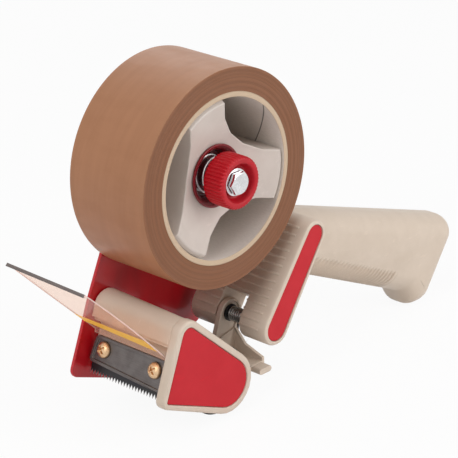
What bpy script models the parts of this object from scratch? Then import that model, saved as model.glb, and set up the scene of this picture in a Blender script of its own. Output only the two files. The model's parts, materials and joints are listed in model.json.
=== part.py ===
"""Hand dispenser for packing tape, with a pistol grip, a side-loading hub and a sprung brake lever.

Frame: metres, +Z up, on the table at z = 0. X runs from the blade (-) to the grip (+). Y runs along
the axles, from the open side with the cheek (-) to the steel side plate (+). All outlines are drawn in
the XZ plane and measured from the roll's axis in X and from the table in Z; one empty sets them down
so that the origin is under the middle of the whole tool.
"""

import math

import bmesh
import bpy
from mathutils import Matrix, Vector

MM = 0.001

# Clearances and cuts
GAP = 0.3 * MM  # left between pieces that touch
RUN = 0.1 * MM  # radial clearance of a shaft in its bush
OVERRUN = 4 * MM  # how far a cutter passes the faces it cuts
MERGE = 0.01 * MM  # points closer than this are one point

# Round forms: how finely they are divided
ARC_STEP = math.radians(15)
ROUND = 48
SMALL_ROUND = 24
LARGE_ROUND = ROUND + SMALL_ROUND
SCREW_ROUND = 16
COIL_STEPS = 12  # points on each turn of a spring
SOFT_ANGLE = math.radians(50)  # edges sharper than this are rounded
SHADE_ANGLE = math.radians(35)  # edges sharper than this are shaded sharp
FLAT_ANGLE = math.radians(1)  # faces closer than this to one plane are one face

# Places of the main axes
HUB_X = -45.8 * MM  # roll's axis, from the middle of the tool
ROLL_CLEARANCE = 6.7 * MM  # roll of tape to the top of the head
ROLLER_X = -6.2 * MM
ROLLER_RADIUS = 17 * MM
LEVER_X = 24.2 * MM
LEVER_HEIGHT = 35.2 * MM

# Roll of tape
TAPE_WIDTH = 48 * MM
TAPE_RADIUS = 52 * MM
CORE_BORE_RADIUS = 38.1 * MM
CORE_WALL = 3 * MM

# Side plate and the two sides of the tool
SIDE_CLEARANCE = 3.2 * MM  # tape to plate
PLATE_THICKNESS = 1.8 * MM
NEAR_SIDE = -29 * MM
CHEEK_THICKNESS = 5.8 * MM
PLATE_FRONT_HEIGHT = 20.3 * MM
PLATE_FRONT_X = -54.7 * MM
PLATE_BEND_X = -40.6 * MM
PLATE_BEND_HEIGHT = 56.3 * MM
PLATE_SHOULDER_X = -22.5 * MM
PLATE_SHOULDER_DROP = 30.6 * MM  # below the hub's axis
PLATE_TOP_RADIUS = 21 * MM
PLATE_CORNER = 4 * MM
PLATE_BEND_RADIUS = 8 * MM
PLATE_TOP_SHARE = 0.98  # of the top radius, so that its two arcs keep a short flat between them
PLATE_THROAT_SHARE = 0.8  # of the top radius, from the hub's axis down to the inner corner
PLATE_FOOT_SHARE = 0.4  # of the radius round the block's foot, rearward to the outline's corner
PLATE_BACK_SHARES = (1.5, 0.4)  # of the radius round the block's top, back and down to the rear corner
PLATE_CREST_SHARE = 1.4  # of the same radius, up to the upper corner
PLATE_MARGIN = 3.4 * MM  # plate past the handle block's outline
BEAD_WIDTH = 3.2 * MM
BEAD_HEIGHT = 0.8 * MM
BEAD_LENGTH = 30 * MM
BEAD_PITCH = 9 * MM
BEAD_FIRST_X = -21 * MM
BEAD_FOOT = 44 * MM
BEAD_EDGE = 0.7 * MM

# Cheek of the head: a hull around three circles
CHEEK_TOP = (-31 * MM, 49.8 * MM, 7.5 * MM)
CHEEK_TOE = (-44.9 * MM, 22 * MM, 4 * MM)
CHEEK_NOSE = (-6.4 * MM, 17.6 * MM, 15 * MM)
CHEEK_EDGE = 1.2 * MM
INLAY_MARGIN = 3.2 * MM
INLAY_SINK = 0.4 * MM
INLAY_THICKNESS = 0.9 * MM
INLAY_TOE_RADIUS = 1.4 * MM

# Head cover, blade and clamp, measured in the sloping front plane of the cheek
CLAMP_RISE = 10.6 * MM  # middle of the clamp above the cheek's lower tangent point
CLAMP_HEIGHT = 13 * MM
CLAMP_TAPER = 2.4 * MM  # how much lower its near end reaches
CLAMP_SINK = 3.1 * MM
CLAMP_THICKNESS = 2 * MM
CLAMP_RIM = 1.6 * MM
CLAMP_DISH = 0.8 * MM
CLAMP_NEAR_CLEARANCE = 0.7 * MM
CLAMP_FAR_CLEARANCE = 1.2 * MM
CLAMP_CORNER = 2 * MM
BLADE_THICKNESS = 0.8 * MM
BLADE_DROP = 6.2 * MM  # teeth's tips below the clamp's far end
BLADE_TOP_INSET = 3 * MM
BLADE_END_INSET = 0.5 * MM
TOOTH_COUNT = 25
TOOTH_DEPTH = 3 * MM
BLADE_SCREW_NEAR_INSET = 6.5 * MM  # from the clamp's near end
BLADE_SCREW_FAR_INSET = 8 * MM
BLADE_SCREW_RISE = 0.6 * MM  # above the middle of the clamp
BLADE_SCREW_RADIUS = 1.9 * MM
BLADE_SCREW_LENGTH = 8 * MM
BLADE_SCREW_HEAD_RADIUS = 4 * MM
BLADE_SCREW_HEAD_HEIGHT = 2.2 * MM
BLADE_SCREW_DOME_SHARES = ((0.55, 0.93), (0.88, 0.6), (1, 0.25))  # of the head's radius and height
COVER_WALL = 2.6 * MM
COVER_SINK = 1.6 * MM
COVER_POCKET_TOP = 12.9 * MM
COVER_FOOT = 10.4 * MM
COVER_TAIL = 9 * MM
BOSS_RADIUS = 4.2 * MM
BOSS_LENGTH = 17 * MM
LOWER_BOSS_DEPTH = 16.5 * MM
FLAP_ROOT = 2.9 * MM  # up the front plane to the bend
FLAP_LENGTH = 67.3 * MM  # past the bend
FLAP_THICKNESS = 0.6 * MM
FLAP_SLOPE = math.radians(137.2)
FLAP_SIDE_CLEARANCE = 0.4 * MM

# Roller
ROLLER_SIDE_CLEARANCE = 1.2 * MM
RUBBER_THICKNESS = 4 * MM
ROLLER_RIM = 2.4 * MM
ROLLER_HUB_RADIUS = 8 * MM
ROLLER_WEB = 3 * MM
BUSH_WALL = 1.6 * MM
BUSH_LENGTH = 8 * MM
BUSH_FLANGE = 1.4 * MM
BUSH_LIP = 0.7 * MM
AXLE_RADIUS = 4 * MM
AXLE_SOCKET = 3.4 * MM
AXLE_TAIL = 3 * MM
AXLE_GROOVE = 0.6 * MM
CLIP_THICKNESS = 0.8 * MM
CLIP_WIDTH = 2.6 * MM
CLIP_MOUTH_SHARE = 0.8  # of the axle's radius, to each side

# Handle: a block across the tool with a grip behind it
BLOCK_FOOT = (26.1 * MM, 34.4 * MM, 8.5 * MM)
BLOCK_TOP = (53.3 * MM, 73.5 * MM, 7.5 * MM)
BLOCK_FAR_END = 20.5 * MM
BLOCK_EDGE = 1.5 * MM
BLOCK_INLAY_MARGIN = 2.2 * MM
RIB_COUNT = 14
RIB_PITCH = 4 * MM
RIB_WIDTH = 0.9 * MM
RIB_HEIGHT = 0.5 * MM
RIB_ROOT = 1.5 * MM
RIB_MARGIN = 4.8 * MM
RIB_TOP = 47.6 * MM  # up the front face from where it leaves the round foot
SLOT_NEAR = -12 * MM
SLOT_FAR = 3.3 * MM
SLOT_TOP = 10.6 * MM  # above the lever's pin, along the block
SLOT_REACH = 26 * MM  # how far the slot's cutter runs out of the block
PILLAR_RADIUS = 5 * MM
PILLAR_SHARES = (0.3, 0.86)
GRIP_HALF_WIDTH = 13 * MM
GRIP_ROUNDING = 11 * MM
GRIP_FOOT = (44 * MM, 53.3 * MM, 0)
GRIP_CROOK = (139.1 * MM, 10.4 * MM, 3.7 * MM)
GRIP_HOOK_FRONT = (145.3 * MM, 0, 6.9 * MM)
GRIP_HOOK_BACK = (157.6 * MM, 0, 10.6 * MM)
GRIP_END = (184.1 * MM, 38.6 * MM, 9.6 * MM)
GRIP_LEAST_RADIUS = 0.4 * MM
GRIP_STEPS = 5  # facets of the grip's rounding on each side
FINGER_RIB_COUNT = 22
FINGER_RIB_PITCH = 3.1 * MM
FINGER_RIB_START = 8 * MM
FINGER_RIB_WIDTH = 1 * MM
FINGER_RIB_HEIGHT = 0.5 * MM
FINGER_RIB_REACH = 10 * MM
FINGER_RIB_LEAN = math.radians(50)

# Brake lever
ARM_RADIUS = 7 * MM
ARM_THICKNESS = 2.8 * MM
ARM_CLEARANCE = 1 * MM
ARM_DISH = 1 * MM
ARM_RIM = 1.3 * MM
ARM_KNEE_FORWARD = 7.4 * MM
ARM_KNEE_DROP = 9.2 * MM  # below the lever's pin
ARM_KNEE_RADIUS = 3 * MM
ARM_BACK_REARWARD = 2 * MM
ARM_BACK_DROP = 8.2 * MM
ARM_BACK_RADIUS = 1.6 * MM
PIN_RADIUS = 2.5 * MM
PIN_GRIP = 5 * MM  # how far the pin reaches into the block past the slot
WASHER_RADIUS = 4.2 * MM
WASHER_THICKNESS = 1.1 * MM
LIP_RADIUS = 1.3 * MM
FOOT_HEIGHT = 13.2 * MM
FOOT_BACK = (26.4 * MM, FOOT_HEIGHT, 1.4 * MM)
FOOT_NEAR_END = -18.5 * MM
TAB_FRONT = (19.8 * MM, 12.8 * MM, 1.5 * MM)
TAB_BACK = (25 * MM, 12.9 * MM, 1.5 * MM)
TAB_NEAR_END = -24.5 * MM
WEB_THICKNESS = 1.7 * MM
WEB_NEAR_HEIGHT = 16.3 * MM
WEB_STEP_REACH = 6.5 * MM
WEB_STEP_HEIGHT = 20 * MM
WEB_FAR_HEIGHT = 22 * MM
WEB_FAR_REACH = 7 * MM
BAR_CLEARANCE = 1.2 * MM
LEVER_SPRING_RADIUS = 3.3 * MM
LEVER_SPRING_WIRE = 0.8 * MM
LEVER_SPRING_PITCH = 1.35 * MM
LEVER_SPRING_TURNS = 6

# Hub
LOBE_COUNT = 3
LOBE_FIRST_ANGLE = math.radians(108)
LOBE_HALF_ANGLE = math.radians(18)
LOBE_GAP_RADIUS = 19.5 * MM
HUB_CLEARANCE = 0.45 * MM
HUB_CHAMFER = 1.8 * MM
HUB_DISH = 7.2 * MM
HUB_WALL = 2.4 * MM
HUB_CORNER_WALL = 3.8 * MM
HUB_FRONT_WALL = 3 * MM
HUB_TUBE_WALL = 3 * MM
HUB_FLANGE_RADIUS = 44 * MM
HUB_FLANGE = 1.6 * MM
BEARING_WALL = 2 * MM
POST_RADIUS = 6 * MM
THRUST_RADIUS = 11 * MM

# Tension knob, its cup, spring and bolt
CUP_FLANGE_RADIUS = 15 * MM
CUP_RADIUS = 12.8 * MM
CUP_WALL = 1.5 * MM
CUP_FLANGE = 1.1 * MM
CUP_DEPTH = 8.5 * MM
SPRING_RADIUS = 9.6 * MM
SPRING_WIRE = 1.4 * MM
SPRING_TURNS = 2.25
KNOB_RADIUS = 12.5 * MM
KNOB_LENGTH = 12 * MM
KNOB_FACE = -33 * MM
KNOB_FLUTES = 44
KNOB_FLUTE_DEPTH = 0.5 * MM
KNOB_RECESS_RADIUS = 9.2 * MM
KNOB_RECESS = 4.2 * MM
KNOB_LEAD_IN = 1.2 * MM
KNOB_LEAD_SHARE = 0.3  # of the lead-in, where its two facets meet
BOLT_RADIUS = 3 * MM
BOLT_ACROSS_FLATS = 10 * MM
BOLT_HEAD_HEIGHT = 2.6 * MM
BOLT_CHAMFER = 0.7 * MM
BOLT_WASHER_RADIUS = 6.6 * MM
BOLT_WASHER_THICKNESS = 1.2 * MM
BOLT_TAIL = 0.6 * MM
NUT_HEIGHT = 4 * MM

# Screws through the side plate
SCREW_RADIUS = 2 * MM
SCREW_LENGTH = 14 * MM
SCREW_HEAD_RADIUS = 4 * MM
SCREW_HEAD_HEIGHT = 2.4 * MM
SCREW_CROSS_LENGTH = 4 * MM
SCREW_CROSS_WIDTH = 0.8 * MM
SCREW_CROSS_DEPTH = 1.2 * MM

# Sides that follow from the sizes above
ROLLER_HEIGHT = ROLLER_RADIUS
HUB_HEIGHT = CHEEK_TOP[1] + CHEEK_TOP[2] + ROLL_CLEARANCE + TAPE_RADIUS
PLATE_SHOULDER_HEIGHT = HUB_HEIGHT - PLATE_SHOULDER_DROP
PLATE_INSIDE = TAPE_WIDTH / 2 + SIDE_CLEARANCE
PLATE_OUTSIDE = PLATE_INSIDE + PLATE_THICKNESS
CHEEK_INSIDE = NEAR_SIDE + CHEEK_THICKNESS
CLAMP_NEAR = CHEEK_INSIDE + CLAMP_NEAR_CLEARANCE
CLAMP_FAR = PLATE_INSIDE - CLAMP_FAR_CLEARANCE
BLADE_SCREWS = {"far": CLAMP_FAR - BLADE_SCREW_FAR_INSET, "near": CLAMP_NEAR + BLADE_SCREW_NEAR_INSET}
ARM_KNEE = (LEVER_X - ARM_KNEE_FORWARD, LEVER_HEIGHT - ARM_KNEE_DROP, ARM_KNEE_RADIUS)
ARM_BACK = (LEVER_X + ARM_BACK_REARWARD, LEVER_HEIGHT - ARM_BACK_DROP, ARM_BACK_RADIUS)
SEAT = PLATE_INSIDE - GAP
RECESS = INLAY_SINK + INLAY_THICKNESS + GAP


def clear_scene():
    """Remove what the file holds before the tool is modelled."""
    for old in list(bpy.data.objects):
        bpy.data.objects.remove(old, do_unlink=True)


def collection(name):
    made = bpy.data.collections.new(name)
    bpy.context.scene.collection.children.link(made)
    return made


def finish(name, colour, roughness, metallic=0.0):
    """A Principled material with one colour, roughness and metallic value."""
    made = bpy.data.materials.new(name)
    made.use_nodes = True
    shader = made.node_tree.nodes["Principled BSDF"]
    shader.inputs["Base Color"].default_value = (*colour, 1.0)
    shader.inputs["Roughness"].default_value = roughness
    shader.inputs["Metallic"].default_value = metallic
    made.diffuse_color = (*colour, 1.0)
    return made


# Outlines in the XZ plane


def arc(centre, radius, start, end, closed_end=True):
    """Points on a circle from one angle to another, divided by ARC_STEP."""
    steps = max(2, math.ceil(round(abs(end - start) / ARC_STEP, 2)))
    last = steps + 1 if closed_end else steps
    turn = (end - start) / steps
    return [
        (centre[0] + radius * math.cos(start + turn * i), centre[1] + radius * math.sin(start + turn * i))
        for i in range(last)
    ]


def outer_normal(first, second):
    """Angle of the outward normal of the tangent that runs from one circle to the next, anticlockwise."""
    dx = second[0] - first[0]
    dz = second[1] - first[1]
    swing = math.asin((first[2] - second[2]) / math.hypot(dx, dz))
    return math.atan2(dz, dx) - math.pi / 2 + swing


def hull_of_circles(circles, margin=0.0):
    """Outline of a band stretched round circles (x, z, radius), given anticlockwise, drawn in by a margin."""
    points = []
    for i, circle in enumerate(circles):
        before = outer_normal(circles[i - 1], circle)
        after = outer_normal(circle, circles[(i + 1) % len(circles)])
        while after < before:
            after += 2 * math.pi
        points += arc(circle, circle[2] - margin, before, after)
    return points


def rounded(corners):
    """Outline through corners (x, z, radius), each rounded by its own radius; radius 0 stays sharp."""
    points = []
    for i, (x, z, radius) in enumerate(corners):
        corner = Vector((x, z))
        back = (Vector(corners[i - 1][:2]) - corner).normalized()
        ahead = (Vector(corners[(i + 1) % len(corners)][:2]) - corner).normalized()
        if radius == 0:
            points.append((x, z))
            continue
        half = back.angle(ahead) / 2
        centre = corner + (back + ahead).normalized() * (radius / math.sin(half))
        first = corner + back * (radius / math.tan(half)) - centre
        last = corner + ahead * (radius / math.tan(half)) - centre
        start = math.atan2(first.y, first.x)
        sweep = math.atan2(first.x * last.y - first.y * last.x, first.dot(last))
        points += arc(centre, radius, start, start + sweep)
    return points


def circle(x, z, radius, segments=SMALL_ROUND):
    turn = 2 * math.pi / segments
    return [(x + radius * math.cos(turn * i), z + radius * math.sin(turn * i)) for i in range(segments)]


class Front:
    """The sloping front plane of the cheek: u runs up it and n stands out of it."""

    angle = outer_normal(CHEEK_TOP, CHEEK_TOE) + 2 * math.pi
    out = Vector((math.cos(angle), math.sin(angle)))
    up = Vector((math.sin(angle), -math.cos(angle)))
    origin = Vector(CHEEK_TOE[:2]) + out * CHEEK_TOE[2] + up * CLAMP_RISE

    @classmethod
    def point(cls, u, n):
        at = cls.origin + cls.up * u + cls.out * n
        return (at.x, at.y)


# Solids


class Workshop:
    """Makes solids, places them under their pivots and keeps parts and cutters in their collections."""

    def __init__(self):
        self.parts = collection("tape_dispenser")
        self.cutters = collection("cutters")
        self.base = self.empty("dispenser", (HUB_X, 0, 0), None)

    def empty(self, name, location, parent):
        made = bpy.data.objects.new(name, None)
        made.location = location
        made.parent = parent
        made.empty_display_size = ROLLER_RADIUS
        self.parts.objects.link(made)
        return made

    def pivot(self, name, x, z):
        """An empty on a joint's axis."""
        return self.empty(name, (x, 0, z), self.base)

    def keep(self, made, name, material, pivot=None):
        """Name a finished part, dress it and hang it under its pivot."""
        made.name = name
        made.data.name = name
        made.data.materials.clear()
        made.data.materials.append(material)
        self.cutters.objects.unlink(made)
        self.parts.objects.link(made)
        made.hide_render = False
        made.display_type = "TEXTURED"
        made.parent = pivot or self.base
        if pivot:
            made.location = made.location - pivot.location
        return made

    def stock(self, name, mesh, location=(0, 0, 0), rotation=(0, 0, 0)):
        """A solid in hand, kept with the cutters until it becomes a part."""
        made = bpy.data.objects.new(name, mesh)
        made.location = location
        made.rotation_euler = rotation
        made.parent = self.base
        made.hide_render = True
        made.display_type = "WIRE"
        self.cutters.objects.link(made)
        return made

    def from_curve(self, name, curve, location, rotation):
        """A welded mesh object from a curve, with the curve's place."""
        drawn = bpy.data.objects.new(name + "_curve", curve)
        drawn.location = location
        drawn.rotation_euler = rotation
        self.cutters.objects.link(drawn)
        graph = bpy.context.evaluated_depsgraph_get()
        mesh = bpy.data.meshes.new_from_object(drawn.evaluated_get(graph))
        bpy.data.objects.remove(drawn)
        bpy.data.curves.remove(curve)
        shape = bmesh.new()
        shape.from_mesh(mesh)
        bmesh.ops.remove_doubles(shape, verts=shape.verts, dist=MERGE)
        bmesh.ops.dissolve_limit(shape, angle_limit=FLAT_ANGLE, verts=shape.verts, edges=shape.edges)
        bmesh.ops.recalc_face_normals(shape, faces=shape.faces)
        shape.to_mesh(mesh)
        shape.free()
        return self.stock(name, mesh, location, rotation)

    def sheet(self, name, loops, thickness, location, rotation):
        """A flat outline, with any holes, given a thickness about its own plane."""
        curve = bpy.data.curves.new(name, "CURVE")
        curve.dimensions = "2D"
        curve.fill_mode = "BOTH"
        curve.extrude = thickness / 2
        for loop in loops:
            spline = curve.splines.new("POLY")
            spline.points.add(len(loop) - 1)
            spline.use_cyclic_u = True
            for point, (x, y) in zip(spline.points, loop):
                point.co = (x, y, 0, 1)
        return self.from_curve(name, curve, location, rotation)

    def prism(self, name, loops, near, far):
        """An XZ outline, with any holes, between two places on Y."""
        return self.sheet(name, loops, far - near, (0, (near + far) / 2, 0), (math.pi / 2, 0, 0))

    def turned(self, name, profile, x=0.0, z=0.0, closed=False, segments=ROUND):
        """A profile of (radius, y) turned about an axis along Y, from its near end to its far end."""
        mesh = bpy.data.meshes.new(name)
        count = len(profile)
        edges = [(i, i + 1) for i in range(count - 1)] + ([(count - 1, 0)] if closed else [])
        mesh.from_pydata([(radius, 0, -y) for radius, y in profile], edges, [])
        made = self.stock(name, mesh, (x, 0, z), (math.pi / 2, 0, 0))
        turn = made.modifiers.new("turn", "SCREW")
        turn.angle = 2 * math.pi
        turn.steps = segments
        turn.render_steps = segments
        turn.use_merge_vertices = True
        turn.merge_threshold = MERGE
        return made

    def ring(self, name, inner, outer, near, far, x=0.0, z=0.0, segments=ROUND):
        profile = [(inner, near), (outer, near), (outer, far), (inner, far)]
        return self.turned(name, profile, x, z, True, segments)

    def rod(self, name, radius, near, far, x=0.0, z=0.0, segments=SMALL_ROUND):
        """A cylinder along Y."""
        mesh = bpy.data.meshes.new(name)
        shape = bmesh.new()
        bmesh.ops.create_cone(
            shape, cap_ends=True, segments=segments, radius1=radius, radius2=radius, depth=far - near
        )
        bmesh.ops.rotate(shape, verts=shape.verts, matrix=Matrix.Rotation(math.pi / 2, 3, "X"))
        shape.to_mesh(mesh)
        shape.free()
        return self.stock(name, mesh, (x, (near + far) / 2, z))

    def box(self, name, low, high):
        mesh = bpy.data.meshes.new(name)
        shape = bmesh.new()
        bmesh.ops.create_cube(shape, size=1)
        size = [b - a for a, b in zip(low, high)]
        bmesh.ops.scale(shape, verts=shape.verts, vec=size)
        shape.to_mesh(mesh)
        shape.free()
        return self.stock(name, mesh, [(a + b) / 2 for a, b in zip(low, high)])

    def tube(self, name, points, wire_radius, location=(0, 0, 0)):
        """A wire along points, with filled ends."""
        curve = bpy.data.curves.new(name, "CURVE")
        curve.dimensions = "3D"
        curve.bevel_depth = wire_radius
        curve.bevel_resolution = 1
        curve.use_fill_caps = True
        spline = curve.splines.new("POLY")
        spline.points.add(len(points) - 1)
        for point, place in zip(spline.points, points):
            point.co = (*place, 1)
        return self.from_curve(name, curve, location, (0, 0, 0))


def combine(target, operation, *others):
    """Join or cut solids one after another with exact Booleans."""
    for other in others:
        step = target.modifiers.new(operation.lower(), "BOOLEAN")
        step.operation = operation
        step.solver = "EXACT"
        step.object = other
    return target


def join(target, *others):
    return combine(target, "UNION", *others)


def cut(target, *others):
    return combine(target, "DIFFERENCE", *others)


def soften(target, width, segments=2):
    """Round a solid's sharp edges."""
    edge = target.modifiers.new("edge", "BEVEL")
    edge.width = width
    edge.segments = segments
    edge.limit_method = "ANGLE"
    edge.angle_limit = SOFT_ANGLE
    edge.use_clamp_overlap = False
    return target


def smooth(target):
    target.data.shade_smooth()
    target.data.set_sharp_from_angle(angle=SHADE_ANGLE)
    return target


def group(shop, name, pieces):
    """Several closed solids in one mesh, so that one Boolean joins or cuts them all."""
    graph = bpy.context.evaluated_depsgraph_get()
    shape = bmesh.new()
    for piece in pieces:
        mesh = bpy.data.meshes.new_from_object(piece.evaluated_get(graph))
        mesh.transform(piece.matrix_basis)
        shape.from_mesh(mesh)
        bpy.data.meshes.remove(mesh)
        for step in piece.modifiers:
            if step.type == "BOOLEAN":
                step.object.hide_viewport = True
        piece.hide_viewport = True
    mesh = bpy.data.meshes.new(name)
    shape.to_mesh(mesh)
    shape.free()
    return shop.stock(name, mesh)


def helix(radius, pitch, turns, start):
    """Points of a coil about Y: one step of the angle and of the pitch at a time."""
    count = int(turns * COIL_STEPS) + 1
    step = 2 * math.pi / COIL_STEPS
    return [
        (radius * math.cos(step * i), start + pitch * i / COIL_STEPS, radius * math.sin(step * i))
        for i in range(count)
    ]


def least_gap(points, wire):
    """Least distance between the wires of a coil's turns, measured on points most of a turn apart or more."""
    apart = COIL_STEPS - 2
    pairs = [(Vector(a) - Vector(b)).length for i, a in enumerate(points) for b in points[i + apart :]]
    return min(pairs) - wire


def plate_screw(shop, x, z):
    """A pan-head screw whose head stands on the plate's far side, with a crossed recess."""
    seat = PLATE_OUTSIDE + GAP
    tip = PLATE_INSIDE - SCREW_LENGTH + GAP
    top = seat + SCREW_HEAD_HEIGHT
    half_head = SCREW_HEAD_HEIGHT / 2
    profile = [
        (0, tip),
        (SCREW_RADIUS, tip + SCREW_RADIUS / 2),
        (SCREW_RADIUS, seat),
        (SCREW_HEAD_RADIUS, seat),
        (SCREW_HEAD_RADIUS, seat + half_head),
        (SCREW_HEAD_RADIUS - half_head, top),
        (0, top),
    ]
    screw = shop.turned("screw_stock", profile, x, z, segments=SCREW_ROUND)
    half_length = SCREW_CROSS_LENGTH / 2
    half_width = SCREW_CROSS_WIDTH / 2
    floor = top - SCREW_CROSS_DEPTH
    for dx, dz in ((half_length, half_width), (half_width, half_length)):
        cut(screw, shop.box("cross", (x - dx, floor, z - dz), (x + dx, top + OVERRUN, z + dz)))
    return screw


# Sub-parts


def screw_places():
    """Where the screws and the axle pass the side plate: (x, z) of head screws and handle screws."""
    head = [CHEEK_TOP[:2], Front.point(0, -LOWER_BOSS_DEPTH)]
    foot = Vector(BLOCK_FOOT[:2])
    top = Vector(BLOCK_TOP[:2])
    handle = [tuple(foot.lerp(top, share)) for share in PILLAR_SHARES]
    return head, handle


def side_plate(shop, paint):
    """Pressed steel plate on the far side, which carries the hub's post, the head and the handle."""
    foot_x, foot_z, foot_radius = BLOCK_FOOT
    top_x, top_z, top_radius = BLOCK_TOP
    around_foot = foot_radius + PLATE_MARGIN
    around_top = top_radius + PLATE_MARGIN
    back_share, down_share = PLATE_BACK_SHARES
    throat = HUB_HEIGHT - PLATE_TOP_RADIUS * PLATE_THROAT_SHARE
    crown = HUB_HEIGHT + PLATE_TOP_RADIUS
    outline = rounded(
        [
            (PLATE_FRONT_X, PLATE_FRONT_HEIGHT, PLATE_CORNER),
            (CHEEK_NOSE[0], CHEEK_NOSE[1] - CHEEK_NOSE[2], CHEEK_NOSE[2]),
            (foot_x + around_foot * PLATE_FOOT_SHARE, foot_z - around_foot, around_foot),
            (top_x + around_top * back_share, top_z - around_top * down_share, around_top),
            (top_x, top_z + around_top * PLATE_CREST_SHARE, around_top),
            (PLATE_TOP_RADIUS, throat, PLATE_TOP_RADIUS / 2),
            (PLATE_TOP_RADIUS, crown, PLATE_TOP_RADIUS * PLATE_TOP_SHARE),
            (-PLATE_TOP_RADIUS, crown, PLATE_TOP_RADIUS * PLATE_TOP_SHARE),
            (PLATE_SHOULDER_X, PLATE_SHOULDER_HEIGHT, PLATE_BEND_RADIUS),
            (PLATE_BEND_X, PLATE_BEND_HEIGHT, PLATE_BEND_RADIUS),
        ]
    )
    head, handle = screw_places()
    holes = [circle(x, z, SCREW_RADIUS + GAP) for x, z in head + handle]
    holes.append(circle(ROLLER_X, ROLLER_HEIGHT, AXLE_RADIUS + GAP))
    holes.append(circle(0, HUB_HEIGHT, BOLT_RADIUS + GAP))
    plate = shop.prism("plate_stock", [outline] + holes, PLATE_INSIDE, PLATE_OUTSIDE)
    beads = []
    for i in range(2):
        x = BEAD_FIRST_X + BEAD_PITCH * i
        low = (x, PLATE_OUTSIDE - BEAD_HEIGHT, BEAD_FOOT)
        high = (x + BEAD_WIDTH, PLATE_OUTSIDE + BEAD_HEIGHT, BEAD_FOOT + BEAD_LENGTH)
        bead = soften(shop.box("bead", low, high), BEAD_EDGE)
        beads.append(bead)
    join(plate, group(shop, "beads", beads))
    return shop.keep(plate, "side_plate", paint)


def cheek_circles():
    return [CHEEK_TOP, CHEEK_TOE, CHEEK_NOSE]


def head_inlay_outline():
    """The cheek's outline drawn in by the rim, with a tighter corner at the toe."""
    toe = (CHEEK_TOE[0], CHEEK_TOE[1], INLAY_MARGIN + INLAY_TOE_RADIUS)
    return [CHEEK_TOP, toe, CHEEK_NOSE]


def head_housing(shop, plastic, red):
    """Moulded head: the cheek on the open side and the curved cover that runs from it to the plate."""
    cheek = shop.prism("cheek", [hull_of_circles(cheek_circles())], NEAR_SIDE, CHEEK_INSIDE)
    soften(cheek, CHEEK_EDGE, 3)

    wall = COVER_WALL
    face = -COVER_SINK
    back = -CLAMP_SINK - CLAMP_THICKNESS - BLADE_THICKNESS - 2 * GAP
    pocket = COVER_POCKET_TOP
    foot = -COVER_FOOT
    round_out = CHEEK_TOP[2] - COVER_SINK
    tail_x = CHEEK_TOP[0] + round_out
    tail_z = CHEEK_TOP[1] - COVER_TAIL
    start = Front.angle
    over = arc(CHEEK_TOP, round_out, start, 0)
    under = arc(CHEEK_TOP, round_out - wall, 0, start)
    profile = [
        Front.point(foot, back),
        Front.point(pocket, back),
        Front.point(pocket, face),
        *over,
        (tail_x, tail_z),
        (tail_x - wall, tail_z),
        *under,
        Front.point(pocket + wall, face - wall),
        Front.point(pocket + wall, back - wall),
        Front.point(foot, back - wall),
    ]
    cover = shop.prism("cover", [profile], CHEEK_INSIDE - CHEEK_THICKNESS / 2, SEAT)

    head, _ = screw_places()
    bosses = []
    for x, z in head:
        bosses.append(shop.rod("boss", BOSS_RADIUS, SEAT - BOSS_LENGTH, SEAT, x, z))
    axle_boss = shop.rod(
        "axle_boss",
        AXLE_RADIUS + COVER_WALL,
        CHEEK_INSIDE - CHEEK_THICKNESS / 2,
        CHEEK_INSIDE + ROLLER_SIDE_CLEARANCE - GAP,
        ROLLER_X,
        ROLLER_HEIGHT,
    )
    join(cheek, cover, axle_boss, *bosses)

    stud_end = -CLAMP_SINK - CLAMP_DISH - BLADE_SCREW_LENGTH - wall
    bore_radius = BLADE_SCREW_RADIUS + GAP
    stud_bores = []
    for y in BLADE_SCREWS.values():
        join(cheek, blade_stud(shop, y, BLADE_SCREW_RADIUS + wall, stud_end, back - wall / 2))
        stud_bores.append(blade_stud(shop, y, bore_radius, stud_end + wall / 2, OVERRUN))
    recess_outline = hull_of_circles(head_inlay_outline(), INLAY_MARGIN)
    recess = shop.prism("head_recess", [recess_outline], NEAR_SIDE - OVERRUN, NEAR_SIDE + RECESS)
    socket = shop.rod(
        "axle_socket",
        AXLE_RADIUS + GAP,
        CHEEK_INSIDE - AXLE_SOCKET,
        CHEEK_INSIDE + OVERRUN,
        ROLLER_X,
        ROLLER_HEIGHT,
    )
    pilots = [
        shop.rod("pilot", SCREW_RADIUS + GAP, SEAT - SCREW_LENGTH, SEAT + OVERRUN, x, z) for x, z in head
    ]
    cut(cheek, recess, socket, *pilots, *stud_bores)
    shop.keep(cheek, "head_housing", plastic)

    inlay = shop.prism(
        "inlay",
        [hull_of_circles(head_inlay_outline(), INLAY_MARGIN + GAP)],
        NEAR_SIDE + INLAY_SINK,
        NEAR_SIDE + INLAY_SINK + INLAY_THICKNESS,
    )
    shop.keep(inlay, "head_inlay", red)


def front_frame(n, y=0.0, rise=0.0):
    """Place and turn of a solid drawn in the front plane: x runs to the near side, y up, z out."""
    x, z = Front.point(rise, n)
    turn = Matrix(
        (
            (0, Front.up.x, Front.out.x),
            (-1, 0, 0),
            (0, Front.up.y, Front.out.y),
        )
    )
    return (x, y, z), turn.to_euler()


def blade_stud(shop, y, radius, low, high):
    """A round bar square to the front plane at one of the blade's screws."""
    mesh = bpy.data.meshes.new("stud")
    shape = bmesh.new()
    bmesh.ops.create_cone(
        shape, cap_ends=True, segments=SMALL_ROUND, radius1=radius, radius2=radius, depth=high - low
    )
    shape.to_mesh(mesh)
    shape.free()
    place, turn = front_frame((low + high) / 2, y, BLADE_SCREW_RISE)
    return shop.stock("stud", mesh, place, turn)


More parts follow.
